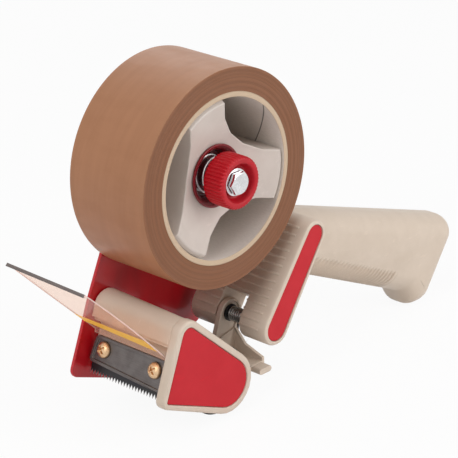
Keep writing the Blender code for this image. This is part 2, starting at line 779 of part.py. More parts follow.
def blade_and_clamp(shop, steel, clamp_steel, brass):
    """Saw-toothed blade, the dished bar that clamps it, and the bar's two screws."""
    near = CLAMP_NEAR
    far = CLAMP_FAR
    half = CLAMP_HEIGHT / 2
    tooth_low = -half - BLADE_DROP
    root = tooth_low + TOOTH_DEPTH
    top = half - BLADE_TOP_INSET
    left = -far + BLADE_END_INSET
    right = -near - BLADE_END_INSET
    pitch = (right - left) / TOOTH_COUNT
    teeth = []
    for i in range(TOOTH_COUNT):
        start = left + pitch * i
        teeth.append((start, root))
        teeth.append((start + pitch / 2, tooth_low))
    outline = [*teeth, (right, root), (right, top), (left, top)]
    hole = BLADE_SCREW_RADIUS + GAP
    holes = [circle(-y, BLADE_SCREW_RISE, hole, SCREW_ROUND) for y in BLADE_SCREWS.values()]
    blade_n = -CLAMP_SINK - CLAMP_THICKNESS - GAP - BLADE_THICKNESS / 2
    place, turn = front_frame(blade_n)
    blade = shop.sheet("blade_stock", [outline, *holes], BLADE_THICKNESS, place, turn)
    shop.keep(blade, "blade", steel)

    corner = CLAMP_CORNER
    near_foot = -half - CLAMP_TAPER
    bar_outline = rounded(
        [
            (-far, -half, corner),
            (-near, near_foot, corner),
            (-near, half, corner),
            (-far + corner, half, corner),
        ]
    )
    rim = CLAMP_RIM
    dish_outline = rounded(
        [
            (-far + rim, -half + rim, corner / 2),
            (-near - rim, near_foot + rim, corner / 2),
            (-near - rim, half - rim, corner / 2),
            (-far + rim + corner, half - rim, corner / 2),
        ]
    )
    place, turn = front_frame(-CLAMP_SINK - CLAMP_THICKNESS / 2)
    clamp = shop.sheet("clamp_stock", [bar_outline, *holes], CLAMP_THICKNESS, place, turn)
    place, turn = front_frame(-CLAMP_SINK)
    dish = shop.sheet("clamp_dish", [dish_outline], 2 * CLAMP_DISH, place, turn)
    cut(clamp, dish)
    shop.keep(clamp, "blade_clamp", clamp_steel)

    seat_n = -CLAMP_SINK - CLAMP_DISH + GAP
    for side, y in BLADE_SCREWS.items():
        shop.keep(clamp_screw(shop, y, seat_n), "blade_screw_" + side, brass)


def clamp_screw(shop, y, seat_n):
    """One pan-head screw of the clamp, its head on the bar's dished face, with a crossed recess."""
    height = BLADE_SCREW_HEAD_HEIGHT
    head = BLADE_SCREW_HEAD_RADIUS
    radius = BLADE_SCREW_RADIUS
    length = BLADE_SCREW_LENGTH
    dome = [(head * across, height * up) for across, up in BLADE_SCREW_DOME_SHARES]
    profile = [
        (0, height),
        *dome,
        (head, 0),
        (radius, 0),
        (radius, -length + radius / 2),
        (0, -length),
    ]
    mesh = bpy.data.meshes.new("clamp_screw")
    edges = [(i, i + 1) for i in range(len(profile) - 1)]
    mesh.from_pydata([(r, 0, h) for r, h in profile], edges, [])
    place, turn = front_frame(seat_n, y, BLADE_SCREW_RISE)
    screw = shop.stock("clamp_screw", mesh, place, turn)
    spin = screw.modifiers.new("turn", "SCREW")
    spin.angle = 2 * math.pi
    spin.steps = SCREW_ROUND
    spin.render_steps = SCREW_ROUND
    spin.use_merge_vertices = True
    spin.merge_threshold = MERGE
    half_length = SCREW_CROSS_LENGTH / 2
    half_width = SCREW_CROSS_WIDTH / 2
    place, turn = front_frame(seat_n + height, y, BLADE_SCREW_RISE)
    for dx, dy in ((half_length, half_width), (half_width, half_length)):
        arm = [(-dx, -dy), (dx, -dy), (dx, dy), (-dx, dy)]
        cut(screw, shop.sheet("cross", [arm], 2 * SCREW_CROSS_DEPTH, place, turn))
    return screw


def flap_base():
    """The flap's foot, on which it turns, just over the clamp's top edge."""
    return Front.point(CLAMP_HEIGHT / 2 + GAP, -CLAMP_SINK - CLAMP_THICKNESS / 2)


def flap(shop, clear):
    """Clear springy sheet that rises from the clamp and is bent to lean out over the blade."""
    x, z = flap_base()
    pivot = shop.pivot("flap_pivot", x, z)
    near = CHEEK_INSIDE + FLAP_SIDE_CLEARANCE
    far = PLATE_INSIDE - FLAP_SIDE_CLEARANCE
    half = FLAP_THICKNESS / 2
    along = Vector((math.cos(FLAP_SLOPE), math.sin(FLAP_SLOPE)))
    across = Vector((-along.y, along.x))
    corner = (across + Front.out) / (1 + across.dot(Front.out))
    start = Vector((x, z))
    bend = start + Front.up * FLAP_ROOT
    end = bend + along * FLAP_LENGTH
    line = [(start, Front.out), (bend, corner), (end, across)]
    outline = [tuple(at - side * half) for at, side in line]
    outline += [tuple(at + side * half) for at, side in reversed(line)]
    sheet = shop.prism("flap_stock", [outline], near, far)
    shop.keep(sheet, "flap", clear, pivot)


def roller(shop, rubber, plastic, nylon, steel):
    """Rubber-covered roller on two flanged bushes and a fixed steel axle."""
    pivot = shop.pivot("roller_pivot", ROLLER_X, ROLLER_HEIGHT)
    near = CHEEK_INSIDE + ROLLER_SIDE_CLEARANCE
    far = PLATE_INSIDE - ROLLER_SIDE_CLEARANCE
    x, z = ROLLER_X, ROLLER_HEIGHT
    core_radius = ROLLER_RADIUS - RUBBER_THICKNESS
    lead = BUSH_LIP
    sleeve_profile = [
        (core_radius, near),
        (ROLLER_RADIUS - lead, near),
        (ROLLER_RADIUS, near + lead),
        (ROLLER_RADIUS, far - lead),
        (ROLLER_RADIUS - lead, far),
        (core_radius, far),
    ]
    sleeve = shop.turned("sleeve_stock", sleeve_profile, x, z, True)
    shop.keep(smooth(sleeve), "roller_sleeve", rubber, pivot)

    outer = core_radius - GAP
    rim = outer - ROLLER_RIM
    bush_outer = AXLE_RADIUS + RUN + BUSH_WALL
    bore = bush_outer + GAP
    hub = ROLLER_HUB_RADIUS
    middle = (near + far) / 2
    web = ROLLER_WEB / 2
    core_profile = [
        (rim, near),
        (outer, near),
        (outer, far),
        (rim, far),
        (rim, middle + web),
        (hub, middle + web),
        (hub, far - BUSH_FLANGE),
        (bore, far - BUSH_FLANGE),
        (bore, near + BUSH_FLANGE),
        (hub, near + BUSH_FLANGE),
        (hub, middle - web),
        (rim, middle - web),
    ]
    core = shop.turned("core_stock", core_profile, x, z, True, SMALL_ROUND)
    shop.keep(smooth(core), "roller_core", plastic, pivot)

    bore = AXLE_RADIUS + RUN
    flange = hub - BUSH_LIP
    seat = BUSH_FLANGE - GAP
    near_bush = [
        (bore, near),
        (flange, near),
        (flange, near + seat),
        (bush_outer, near + seat),
        (bush_outer, near + BUSH_LENGTH),
        (bore, near + BUSH_LENGTH),
    ]
    far_bush = [
        (bore, far - BUSH_LENGTH),
        (bush_outer, far - BUSH_LENGTH),
        (bush_outer, far - seat),
        (flange, far - seat),
        (flange, far),
        (bore, far),
    ]
    for side, profile in (("near", near_bush), ("far", far_bush)):
        bush = shop.turned("bush_stock", profile, x, z, True, SMALL_ROUND)
        shop.keep(smooth(bush), "roller_bush_" + side, nylon, pivot)

    end = PLATE_OUTSIDE + AXLE_TAIL
    start = CHEEK_INSIDE - AXLE_SOCKET + GAP
    groove = PLATE_OUTSIDE + GAP
    neck = AXLE_RADIUS - AXLE_GROOVE
    clip_end = groove + CLIP_THICKNESS + 2 * GAP
    axle_profile = [
        (0, start),
        (AXLE_RADIUS, start),
        (AXLE_RADIUS, groove),
        (neck, groove),
        (neck, clip_end),
        (AXLE_RADIUS, clip_end),
        (AXLE_RADIUS, end),
        (0, end),
    ]
    axle = shop.turned("axle_stock", axle_profile, x, z, segments=SMALL_ROUND)
    shop.keep(smooth(axle), "roller_axle", steel)
    clip_near = groove + GAP
    clip_far = clip_near + CLIP_THICKNESS
    clip_outer = AXLE_RADIUS + CLIP_WIDTH
    clip = shop.ring("clip_stock", neck + RUN, clip_outer, clip_near, clip_far, x, z, SMALL_ROUND)
    half_mouth = AXLE_RADIUS * CLIP_MOUTH_SHARE
    mouth = shop.box(
        "clip_mouth",
        (x - half_mouth, groove - OVERRUN, z - clip_outer - OVERRUN),
        (x + half_mouth, groove + OVERRUN, z),
    )
    cut(clip, mouth)
    shop.keep(clip, "axle_clip", steel)


def block_front(along):
    """Point and outward normal on the block's front, by the way up it from where it leaves the round foot."""
    foot = Vector(BLOCK_FOOT[:2])
    top = Vector(BLOCK_TOP[:2])
    angle = outer_normal(BLOCK_TOP, BLOCK_FOOT)
    if along < 0:
        angle -= along / BLOCK_FOOT[2]
    out = Vector((math.cos(angle), math.sin(angle)))
    point = foot + out * BLOCK_FOOT[2]
    if along > 0:
        point += (top + out * BLOCK_TOP[2] - point).normalized() * along
    return point, out


def block_rib(shop, along):
    """A low rib across the block's front."""
    point, out = block_front(along)
    centre = point + out * ((RIB_HEIGHT - RIB_ROOT) / 2)
    near = NEAR_SIDE + RIB_MARGIN
    far = BLOCK_FAR_END - RIB_MARGIN / 2
    mesh = bpy.data.meshes.new("rib")
    shape = bmesh.new()
    bmesh.ops.create_cube(shape, size=1)
    bmesh.ops.scale(shape, verts=shape.verts, vec=(RIB_HEIGHT + RIB_ROOT, far - near, RIB_WIDTH))
    shape.to_mesh(mesh)
    shape.free()
    return shop.stock("rib", mesh, (centre.x, (near + far) / 2, centre.y), (0, -math.atan2(out.y, out.x), 0))


def touch_point(ring, point):
    """Where a line from a point behind and below touches the upper side of a circle."""
    dx = point[0] - ring[0]
    dz = point[1] - ring[1]
    angle = math.atan2(dz, dx) + math.acos(ring[2] / math.hypot(dx, dz))
    return (ring[0] + ring[2] * math.cos(angle), ring[1] + ring[2] * math.sin(angle), 0)


def inset(corners, distance):
    """Corners of an outline drawn in by a distance on every side but the first."""
    drawn = []
    for i, (x, z, radius) in enumerate(corners):
        corner = Vector((x, z))
        before = (corner - Vector(corners[i - 1][:2])).normalized()
        after = (Vector(corners[(i + 1) % len(corners)][:2]) - corner).normalized()
        step_before = 0 if i == 1 else distance
        step_after = 0 if i == 0 else distance
        turn = before.x * after.y - before.y * after.x
        offset = (after * step_before - before * step_after) / turn
        if radius:
            radius = max(radius - math.copysign(distance, turn), GRIP_LEAST_RADIUS)
        drawn.append((x + offset.x, z + offset.y, radius))
    return drawn


def cushion(shop, name, corners, half_width, rounding, swell=0.0):
    """A plate with one outline whose long edges are rounded, lofted through drawn-in copies of it."""
    levels = []
    for i in range(-GRIP_STEPS, GRIP_STEPS + 1):
        angle = i * math.pi / 2 / GRIP_STEPS
        side = half_width - rounding if i > 0 else rounding - half_width
        radius = rounding + swell
        levels.append((side + radius * math.sin(angle), rounding - radius * math.cos(angle)))
        if i == 0 and half_width > rounding:
            levels.append((half_width - rounding, -swell))
    shape = bmesh.new()
    rings = []
    for y, drawn_in in levels:
        outline = rounded(inset(corners, drawn_in))
        rings.append([shape.verts.new((x, y, z)) for x, z in outline])
    count = len(rings[0])
    for lower, upper in zip(rings, rings[1:]):
        for i in range(count):
            ahead = (i + 1) % count
            shape.faces.new((lower[i], lower[ahead], upper[ahead], upper[i]))
    shape.faces.new(rings[0][::-1])
    shape.faces.new(rings[-1])
    bmesh.ops.recalc_face_normals(shape, faces=shape.faces)
    mesh = bpy.data.meshes.new(name)
    shape.to_mesh(mesh)
    shape.free()
    return shop.stock(name, mesh)


def finger_ribs(shop, corners):
    """Leaning ribs that wrap the grip's underside, cut from a slightly larger copy of it."""
    foot = Vector(corners[1][:2])
    under = (Vector(corners[2][:2]) - foot).normalized()
    lean = under.angle_signed(Vector((1, 0))) + FINGER_RIB_LEAN
    slabs = []
    for i in range(FINGER_RIB_COUNT):
        place = foot + under * (FINGER_RIB_START + FINGER_RIB_PITCH * i + GRIP_HALF_WIDTH)
        size = (2 * FINGER_RIB_REACH, 2 * (GRIP_HALF_WIDTH + OVERRUN), FINGER_RIB_WIDTH)
        mesh = bpy.data.meshes.new("slab")
        shape = bmesh.new()
        bmesh.ops.create_cube(shape, size=1)
        bmesh.ops.scale(shape, verts=shape.verts, vec=size)
        shape.to_mesh(mesh)
        shape.free()
        slabs.append(shop.stock("slab", mesh, (place.x, 0, place.y), (0, -lean, 0)))
    blank = cushion(shop, "finger_blank", corners, GRIP_HALF_WIDTH, GRIP_ROUNDING, FINGER_RIB_HEIGHT)
    return combine(blank, "INTERSECT", group(shop, "slabs", slabs))


def handle(shop, plastic, red):
    """One moulding: the ribbed block across the tool and the grip that runs back from it."""
    block_circles = [BLOCK_FOOT, BLOCK_TOP]
    block = shop.prism("block", [hull_of_circles(block_circles)], NEAR_SIDE, BLOCK_FAR_END)
    soften(block, BLOCK_EDGE, 2)

    start = touch_point(BLOCK_TOP, GRIP_END)
    corners = [start, GRIP_FOOT, GRIP_CROOK, GRIP_HOOK_FRONT, GRIP_HOOK_BACK, GRIP_END]
    grip = cushion(shop, "grip", corners, GRIP_HALF_WIDTH, GRIP_ROUNDING)
    ribs = [block_rib(shop, RIB_TOP - RIB_PITCH * i) for i in range(RIB_COUNT)]

    _, places = screw_places()
    pillars = [
        shop.rod("pillar", PILLAR_RADIUS, BLOCK_FAR_END - PILLAR_RADIUS, SEAT, x, z) for x, z in places
    ]
    join(block, grip, finger_ribs(shop, corners), group(shop, "ribs", ribs), group(shop, "pillars", pillars))

    pin = Vector((LEVER_X, LEVER_HEIGHT))
    axis = (Vector(BLOCK_TOP[:2]) - Vector(BLOCK_FOOT[:2])).normalized()
    outward = Vector((-axis.y, axis.x))
    top = pin + axis * SLOT_TOP
    bottom = pin - axis * SLOT_REACH
    side = outward * SLOT_REACH
    slot_outline = [tuple(top - side), tuple(top + side), tuple(bottom + side), tuple(bottom - side)]
    slot = shop.prism("lever_slot", [slot_outline], SLOT_NEAR, SLOT_FAR)
    recess = shop.prism(
        "block_recess",
        [hull_of_circles(block_circles, BLOCK_INLAY_MARGIN)],
        NEAR_SIDE - OVERRUN,
        NEAR_SIDE + RECESS,
    )
    pin_bore = shop.rod(
        "pin_bore", PIN_RADIUS + GAP, SLOT_NEAR - PIN_GRIP, SLOT_FAR + PIN_GRIP, LEVER_X, LEVER_HEIGHT
    )
    pilots = [
        shop.rod("pilot", SCREW_RADIUS + GAP, SEAT - SCREW_LENGTH, SEAT + OVERRUN, x, z) for x, z in places
    ]
    cut(block, slot, recess, pin_bore, *pilots)
    shop.keep(block, "handle", plastic)

    inlay = shop.prism(
        "inlay",
        [hull_of_circles(block_circles, BLOCK_INLAY_MARGIN + GAP)],
        NEAR_SIDE + INLAY_SINK,
        NEAR_SIDE + INLAY_SINK + INLAY_THICKNESS,
    )
    shop.keep(inlay, "handle_inlay", red)


def plate_screws(shop, steel):
    """The screws that hold the head and the handle, driven through the side plate."""
    for name, places in zip(("head_screw_", "handle_screw_"), screw_places()):
        for i, (x, z) in enumerate(places):
            shop.keep(plate_screw(shop, x, z), name + str(i + 1), steel)


def brake_lever(shop, plastic, black, steel):
    """Sprung lever: an arm in the block's slot, a bar behind the roller with a lip, and a finger tab."""
    pivot = shop.pivot("lever_pivot", LEVER_X, LEVER_HEIGHT)
    arm_far = SLOT_FAR - ARM_CLEARANCE
    arm_near = arm_far - ARM_THICKNESS
    reach = ROLLER_RADIUS + GAP + LIP_RADIUS
    lip_x = ROLLER_X + math.sqrt(reach**2 - (FOOT_HEIGHT - ROLLER_HEIGHT) ** 2)
    lip = (lip_x, FOOT_HEIGHT, LIP_RADIUS)
    crown = (LEVER_X, LEVER_HEIGHT, ARM_RADIUS)
    arm = shop.prism("arm", [hull_of_circles([crown, ARM_KNEE, ARM_BACK])], arm_near, arm_far)
    shin = shop.prism("shin", [hull_of_circles([ARM_KNEE, lip, FOOT_BACK, ARM_BACK])], arm_near, arm_far)
    join(arm, shin)
    dish_outline = hull_of_circles([crown, ARM_KNEE, ARM_BACK], ARM_RIM)
    dish = shop.prism("arm_dish", [dish_outline], arm_near - OVERRUN, arm_near + ARM_DISH)
    cut(arm, dish)

    foot_far = PLATE_INSIDE - BAR_CLEARANCE
    foot = shop.prism("foot", [hull_of_circles([FOOT_BACK, lip])], FOOT_NEAR_END, foot_far)
    tab = shop.prism("tab", [hull_of_circles([TAB_BACK, TAB_FRONT])], TAB_NEAR_END, arm_near - ARM_DISH)
    web_outline = [
        (FOOT_NEAR_END, FOOT_HEIGHT),
        (foot_far, FOOT_HEIGHT),
        (foot_far, WEB_NEAR_HEIGHT),
        (arm_far + WEB_FAR_REACH, WEB_NEAR_HEIGHT),
        (arm_far, WEB_FAR_HEIGHT),
        (arm_far - ARM_THICKNESS / 2, ARM_BACK[1]),
        (arm_near, ARM_BACK[1]),
        (arm_near - WEB_STEP_REACH, WEB_STEP_HEIGHT),
        (FOOT_NEAR_END, WEB_NEAR_HEIGHT),
    ]
    web_x = FOOT_BACK[0] + FOOT_BACK[2] - WEB_THICKNESS / 2 - MERGE
    web = shop.sheet("web", [web_outline], WEB_THICKNESS, (web_x, 0, 0), (math.pi / 2, 0, math.pi / 2))
    join(arm, foot, tab, web)
    bore_ends = (arm_near - OVERRUN, arm_far + OVERRUN)
    cut(arm, shop.rod("lever_bore", PIN_RADIUS + RUN, *bore_ends, LEVER_X, LEVER_HEIGHT))
    shop.keep(arm, "brake_lever", plastic, pivot)

    pin = shop.rod(
        "pin_stock",
        PIN_RADIUS,
        SLOT_NEAR - PIN_GRIP + GAP,
        SLOT_FAR + PIN_GRIP - GAP,
        LEVER_X,
        LEVER_HEIGHT,
    )
    shop.keep(smooth(pin), "lever_pin", steel)
    washer_far = arm_near + ARM_DISH - GAP
    washer = shop.ring(
        "washer_stock",
        PIN_RADIUS + GAP,
        WASHER_RADIUS,
        washer_far - WASHER_THICKNESS,
        washer_far,
        LEVER_X,
        LEVER_HEIGHT,
        SMALL_ROUND,
    )
    shop.keep(smooth(washer), "lever_washer", black)

    wire = LEVER_SPRING_WIRE
    coil_start = washer_far - WASHER_THICKNESS - GAP - wire / 2
    coil = helix(LEVER_SPRING_RADIUS, -LEVER_SPRING_PITCH, LEVER_SPRING_TURNS, coil_start)
    print("lever spring, least gap between turns:", round(least_gap(coil, wire) / MM, 2), "mm")
    spring = shop.tube("lever_coil", coil, wire / 2, (LEVER_X, 0, LEVER_HEIGHT))
    shop.keep(smooth(spring), "lever_spring", steel)


def hub_outline(radius, gap_radius, lobe_radius):
    """Three lobes: arcs of one radius at their ends, joined by hollow arcs that dip to the gap radius."""
    points = []
    spacing = 2 * math.pi / LOBE_COUNT
    half_gap = spacing / 2 - LOBE_HALF_ANGLE
    along = lobe_radius * math.cos(half_gap)
    across = lobe_radius * math.sin(half_gap)
    far = (along**2 + across**2 - gap_radius**2) / (2 * (along - gap_radius))
    hollow = far - gap_radius
    half_sweep = math.asin(across / hollow)
    for i in range(LOBE_COUNT):
        middle = LOBE_FIRST_ANGLE + spacing * i
        points += arc((0, 0), radius, middle - LOBE_HALF_ANGLE, middle + LOBE_HALF_ANGLE)
        gap_middle = middle + spacing / 2
        centre = (far * math.cos(gap_middle), far * math.sin(gap_middle))
        turn = gap_middle + math.pi
        points += arc(centre, hollow, turn + half_sweep, turn - half_sweep)
    return [(x, z + HUB_HEIGHT) for x, z in points]


def hub(shop, plastic, nylon, steel, card, tape):
    """Three-lobed hub on a nylon bearing and the plate's post, and the roll of tape on it."""
    pivot = shop.pivot("hub_pivot", 0, HUB_HEIGHT)
    near = -TAPE_WIDTH / 2
    far = TAPE_WIDTH / 2 + GAP
    flange_far = far + HUB_FLANGE
    lobe_radius = CORE_BORE_RADIUS - HUB_CLEARANCE
    bearing_radius = POST_RADIUS + RUN + BEARING_WALL
    cup_rest = near + HUB_DISH
    cup_floor = cup_rest + CUP_DEPTH
    profile = [
        (0, cup_floor + GAP),
        (CUP_RADIUS + GAP, cup_floor + GAP),
        (CUP_RADIUS + GAP, cup_rest),
        (CUP_FLANGE_RADIUS + GAP, cup_rest),
        (lobe_radius - HUB_CHAMFER, near),
        (lobe_radius, near + HUB_CHAMFER),
        (lobe_radius, far + HUB_FLANGE / 2),
        (0, far + HUB_FLANGE / 2),
    ]
    body = shop.turned("hub_body", profile, 0, HUB_HEIGHT)
    outline = hub_outline(lobe_radius + OVERRUN, LOBE_GAP_RADIUS, lobe_radius)
    lobes = shop.prism("hub_lobes", [outline], near - OVERRUN, far + OVERRUN)
    combine(body, "INTERSECT", lobes)
    flange = shop.rod("hub_flange", HUB_FLANGE_RADIUS, far, flange_far, 0, HUB_HEIGHT, ROUND)

    inner = hub_outline(lobe_radius - HUB_WALL, LOBE_GAP_RADIUS - HUB_WALL, lobe_radius - HUB_CORNER_WALL)
    hollow = shop.prism("hub_hollow", [inner], cup_floor + HUB_FRONT_WALL, flange_far + OVERRUN)
    tube_radius = bearing_radius + HUB_TUBE_WALL
    tube = shop.rod("hub_tube", tube_radius, cup_floor, flange_far + 2 * OVERRUN, 0, HUB_HEIGHT)
    bore = shop.rod(
        "hub_bore", bearing_radius + GAP, cup_floor - OVERRUN, flange_far + OVERRUN, 0, HUB_HEIGHT
    )
    cut(hollow, tube)
    join(body, flange)
    cut(body, hollow, bore)
    shop.keep(body, "hub", plastic, pivot)

    running = POST_RADIUS + RUN
    axis = (0, HUB_HEIGHT)
    bearing_ends = (cup_floor + GAP, flange_far)
    bearing = shop.ring("bearing_stock", running, bearing_radius, *bearing_ends, *axis, SMALL_ROUND)
    shop.keep(smooth(bearing), "hub_bearing", nylon, pivot)

    core_outside = CORE_BORE_RADIUS + CORE_WALL
    core = shop.ring("core_stock", CORE_BORE_RADIUS, core_outside, near, -near, *axis, LARGE_ROUND)
    shop.keep(smooth(core), "tape_core", card, pivot)
    roll_inside = core_outside + GAP
    roll = shop.ring("roll_stock", roll_inside, TAPE_RADIUS, near, -near, *axis, LARGE_ROUND)
    shop.keep(smooth(roll), "tape_roll", tape, pivot)

    washer_ends = (flange_far + RUN, SEAT - RUN)
    washer = shop.ring("thrust_stock", running, THRUST_RADIUS, *washer_ends, *axis, SMALL_ROUND)
    shop.keep(smooth(washer), "thrust_washer", nylon)
    post_near = cup_rest + CUP_FLANGE
    post = shop.ring("post_stock", BOLT_RADIUS + GAP, POST_RADIUS, post_near, SEAT, *axis, SMALL_ROUND)
    shop.keep(smooth(post), "hub_post", steel)


def hexagon(across_flats, x=0.0, z=0.0):
    corner = across_flats / math.sqrt(3)
    return [
        (x + corner * math.cos(math.pi / 3 * i), z + corner * math.sin(math.pi / 3 * i)) for i in range(6)
    ]


def tension_stack(shop, red, dark_red, steel, chrome):
    """Cup, spring, fluted knob, washer and long bolt that load the hub's friction, and the plate's nut."""
    pivot = shop.pivot("tension_pivot", 0, HUB_HEIGHT)
    cup_rest = -TAPE_WIDTH / 2 + HUB_DISH
    floor_back = cup_rest + CUP_DEPTH
    wall = CUP_WALL
    inner = CUP_RADIUS - wall
    cup_profile = [
        (inner, cup_rest - CUP_FLANGE - GAP),
        (CUP_FLANGE_RADIUS, cup_rest - CUP_FLANGE - GAP),
        (CUP_FLANGE_RADIUS, cup_rest - GAP),
        (CUP_RADIUS, cup_rest - GAP),
        (CUP_RADIUS, floor_back),
        (POST_RADIUS + GAP, floor_back),
        (POST_RADIUS + GAP, floor_back - wall),
        (inner, floor_back - wall),
    ]
    cup = shop.turned("cup_stock", cup_profile, 0, HUB_HEIGHT, True)
    shop.keep(smooth(cup), "spring_cup", dark_red)

    knob_back = KNOB_FACE + KNOB_LENGTH
    wire = SPRING_WIRE
    first = knob_back + GAP + wire / 2
    last = floor_back - wall - GAP - wire / 2
    pitch = (last - first) / SPRING_TURNS
    coil = helix(SPRING_RADIUS, pitch, SPRING_TURNS, first)
    print("tension spring, least gap between turns:", round(least_gap(coil, wire) / MM, 2), "mm")
    spring = shop.tube("tension_coil", coil, wire / 2, (0, 0, HUB_HEIGHT))
    shop.keep(smooth(spring), "tension_spring", steel)

    count = KNOB_FLUTES * 2
    turn = 2 * math.pi / count
    radii = (KNOB_RADIUS, KNOB_RADIUS - KNOB_FLUTE_DEPTH)
    flutes = [
        (radii[i % 2] * math.cos(turn * i), HUB_HEIGHT + radii[i % 2] * math.sin(turn * i))
        for i in range(count)
    ]
    knob = shop.prism("knob_stock", [flutes], KNOB_FACE, knob_back)
    lead = KNOB_LEAD_IN
    blank = [
        (0, KNOB_FACE),
        (KNOB_RADIUS - lead, KNOB_FACE),
        (KNOB_RADIUS - lead * KNOB_LEAD_SHARE, KNOB_FACE + lead * KNOB_LEAD_SHARE),
        (KNOB_RADIUS, KNOB_FACE + lead),
        (KNOB_RADIUS, knob_back - lead / 2),
        (KNOB_RADIUS - lead / 2, knob_back),
        (0, knob_back),
    ]
    combine(knob, "INTERSECT", shop.turned("knob_blank", blank, 0, HUB_HEIGHT))
    recess_floor = KNOB_FACE + KNOB_RECESS
    recess_profile = [
        (0, KNOB_FACE - OVERRUN),
        (KNOB_RECESS_RADIUS + lead / 2, KNOB_FACE - OVERRUN),
        (KNOB_RECESS_RADIUS + lead / 2, KNOB_FACE),
        (KNOB_RECESS_RADIUS, KNOB_FACE + lead / 2),
        (KNOB_RECESS_RADIUS - lead, recess_floor),
        (0, recess_floor),
    ]
    recess = shop.turned("knob_recess", recess_profile, 0, HUB_HEIGHT)
    bolt_bore = shop.rod("bolt_bore", BOLT_RADIUS + GAP, KNOB_FACE, knob_back + OVERRUN, 0, HUB_HEIGHT)
    cut(knob, recess, bolt_bore)
    shop.keep(knob, "tension_knob", red, pivot)

    washer_far = recess_floor - GAP
    washer_near = washer_far - BOLT_WASHER_THICKNESS
    ends = (washer_near, washer_far)
    bore = BOLT_RADIUS + GAP
    washer = shop.ring("washer_stock", bore, BOLT_WASHER_RADIUS, *ends, 0, HUB_HEIGHT, SMALL_ROUND)
    shop.keep(smooth(washer), "bolt_washer", chrome, pivot)

    head_far = washer_near - GAP
    head_near = head_far - BOLT_HEAD_HEIGHT
    tail = PLATE_OUTSIDE + 2 * GAP + NUT_HEIGHT + BOLT_TAIL
    bolt = shop.rod("bolt_stock", BOLT_RADIUS, head_near + BOLT_HEAD_HEIGHT / 2, tail, 0, HUB_HEIGHT)
    head = shop.prism("bolt_head", [hexagon(BOLT_ACROSS_FLATS, 0, HUB_HEIGHT)], head_near, head_far)
    crown = BOLT_ACROSS_FLATS / 2
    corner = BOLT_ACROSS_FLATS / math.sqrt(3) + GAP
    chamfer = [
        (0, head_near),
        (crown, head_near),
        (corner, head_near + BOLT_CHAMFER),
        (corner, head_far + OVERRUN),
        (0, head_far + OVERRUN),
    ]
    combine(head, "INTERSECT", shop.turned("bolt_chamfer", chamfer, 0, HUB_HEIGHT, segments=SMALL_ROUND))
    join(bolt, head)
    shop.keep(bolt, "tension_bolt", chrome, pivot)

    nut_near = PLATE_OUTSIDE + GAP
    nut_loops = [hexagon(BOLT_ACROSS_FLATS, 0, HUB_HEIGHT), circle(0, HUB_HEIGHT, BOLT_RADIUS + RUN)]
    nut = shop.prism("nut_stock", nut_loops, nut_near, nut_near + NUT_HEIGHT)
    shop.keep(nut, "plate_nut", steel)


def main():
    clear_scene()
    shop = Workshop()
    cream = finish("cream_plastic", (0.68, 0.58, 0.46), 0.45)
    red = finish("red_plastic", (0.58, 0.03, 0.04), 0.35)
    dark_red = finish("dark_red_plastic", (0.30, 0.01, 0.02), 0.4)
    paint = finish("red_paint", (0.42, 0.01, 0.02), 0.2)
    steel = finish("steel", (0.55, 0.55, 0.56), 0.35, 1.0)
    clamp_steel = finish("clamp_steel", (0.17, 0.15, 0.15), 0.35, 1.0)
    blade_steel = finish("blade_steel", (0.12, 0.12, 0.13), 0.3, 1.0)
    brass = finish("yellow_zinc", (0.75, 0.42, 0.16), 0.3, 1.0)
    chrome = finish("bright_zinc", (0.75, 0.75, 0.76), 0.15, 1.0)
    rubber = finish("black_rubber", (0.02, 0.02, 0.02), 0.7)
    black = finish("black_steel", (0.03, 0.03, 0.03), 0.5)
    nylon = finish("nylon", (0.75, 0.75, 0.72), 0.4)
    card = finish("cardboard", (0.60, 0.45, 0.30), 0.8)
    tape = finish("brown_tape", (0.38, 0.20, 0.10), 0.3)
    clear = finish("clear_sheet", (0.85, 0.82, 0.80), 0.1)

    side_plate(shop, paint)
    head_housing(shop, cream, red)
    blade_and_clamp(shop, blade_steel, clamp_steel, brass)
    flap(shop, clear)
    roller(shop, rubber, cream, nylon, steel)
    handle(shop, cream, red)
    plate_screws(shop, steel)
    brake_lever(shop, cream, black, steel)
    hub(shop, cream, nylon, steel, card, tape)
    tension_stack(shop, red, dark_red, steel, chrome)


main()
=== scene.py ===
"""Packing tape dispenser: the dressed model, its studio and its camera.

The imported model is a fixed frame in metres: +Z up, +X from the blade to the grip, +Y along the axles
from the open side with the cheek to the steel side plate. Shapes here are worked out in millimetres.
"""

from __future__ import annotations

import json
import logging
import math
from collections.abc import Callable, Sequence
from dataclasses import dataclass
from enum import Enum

import bmesh
import bpy
import numpy as np
from mathutils import Matrix

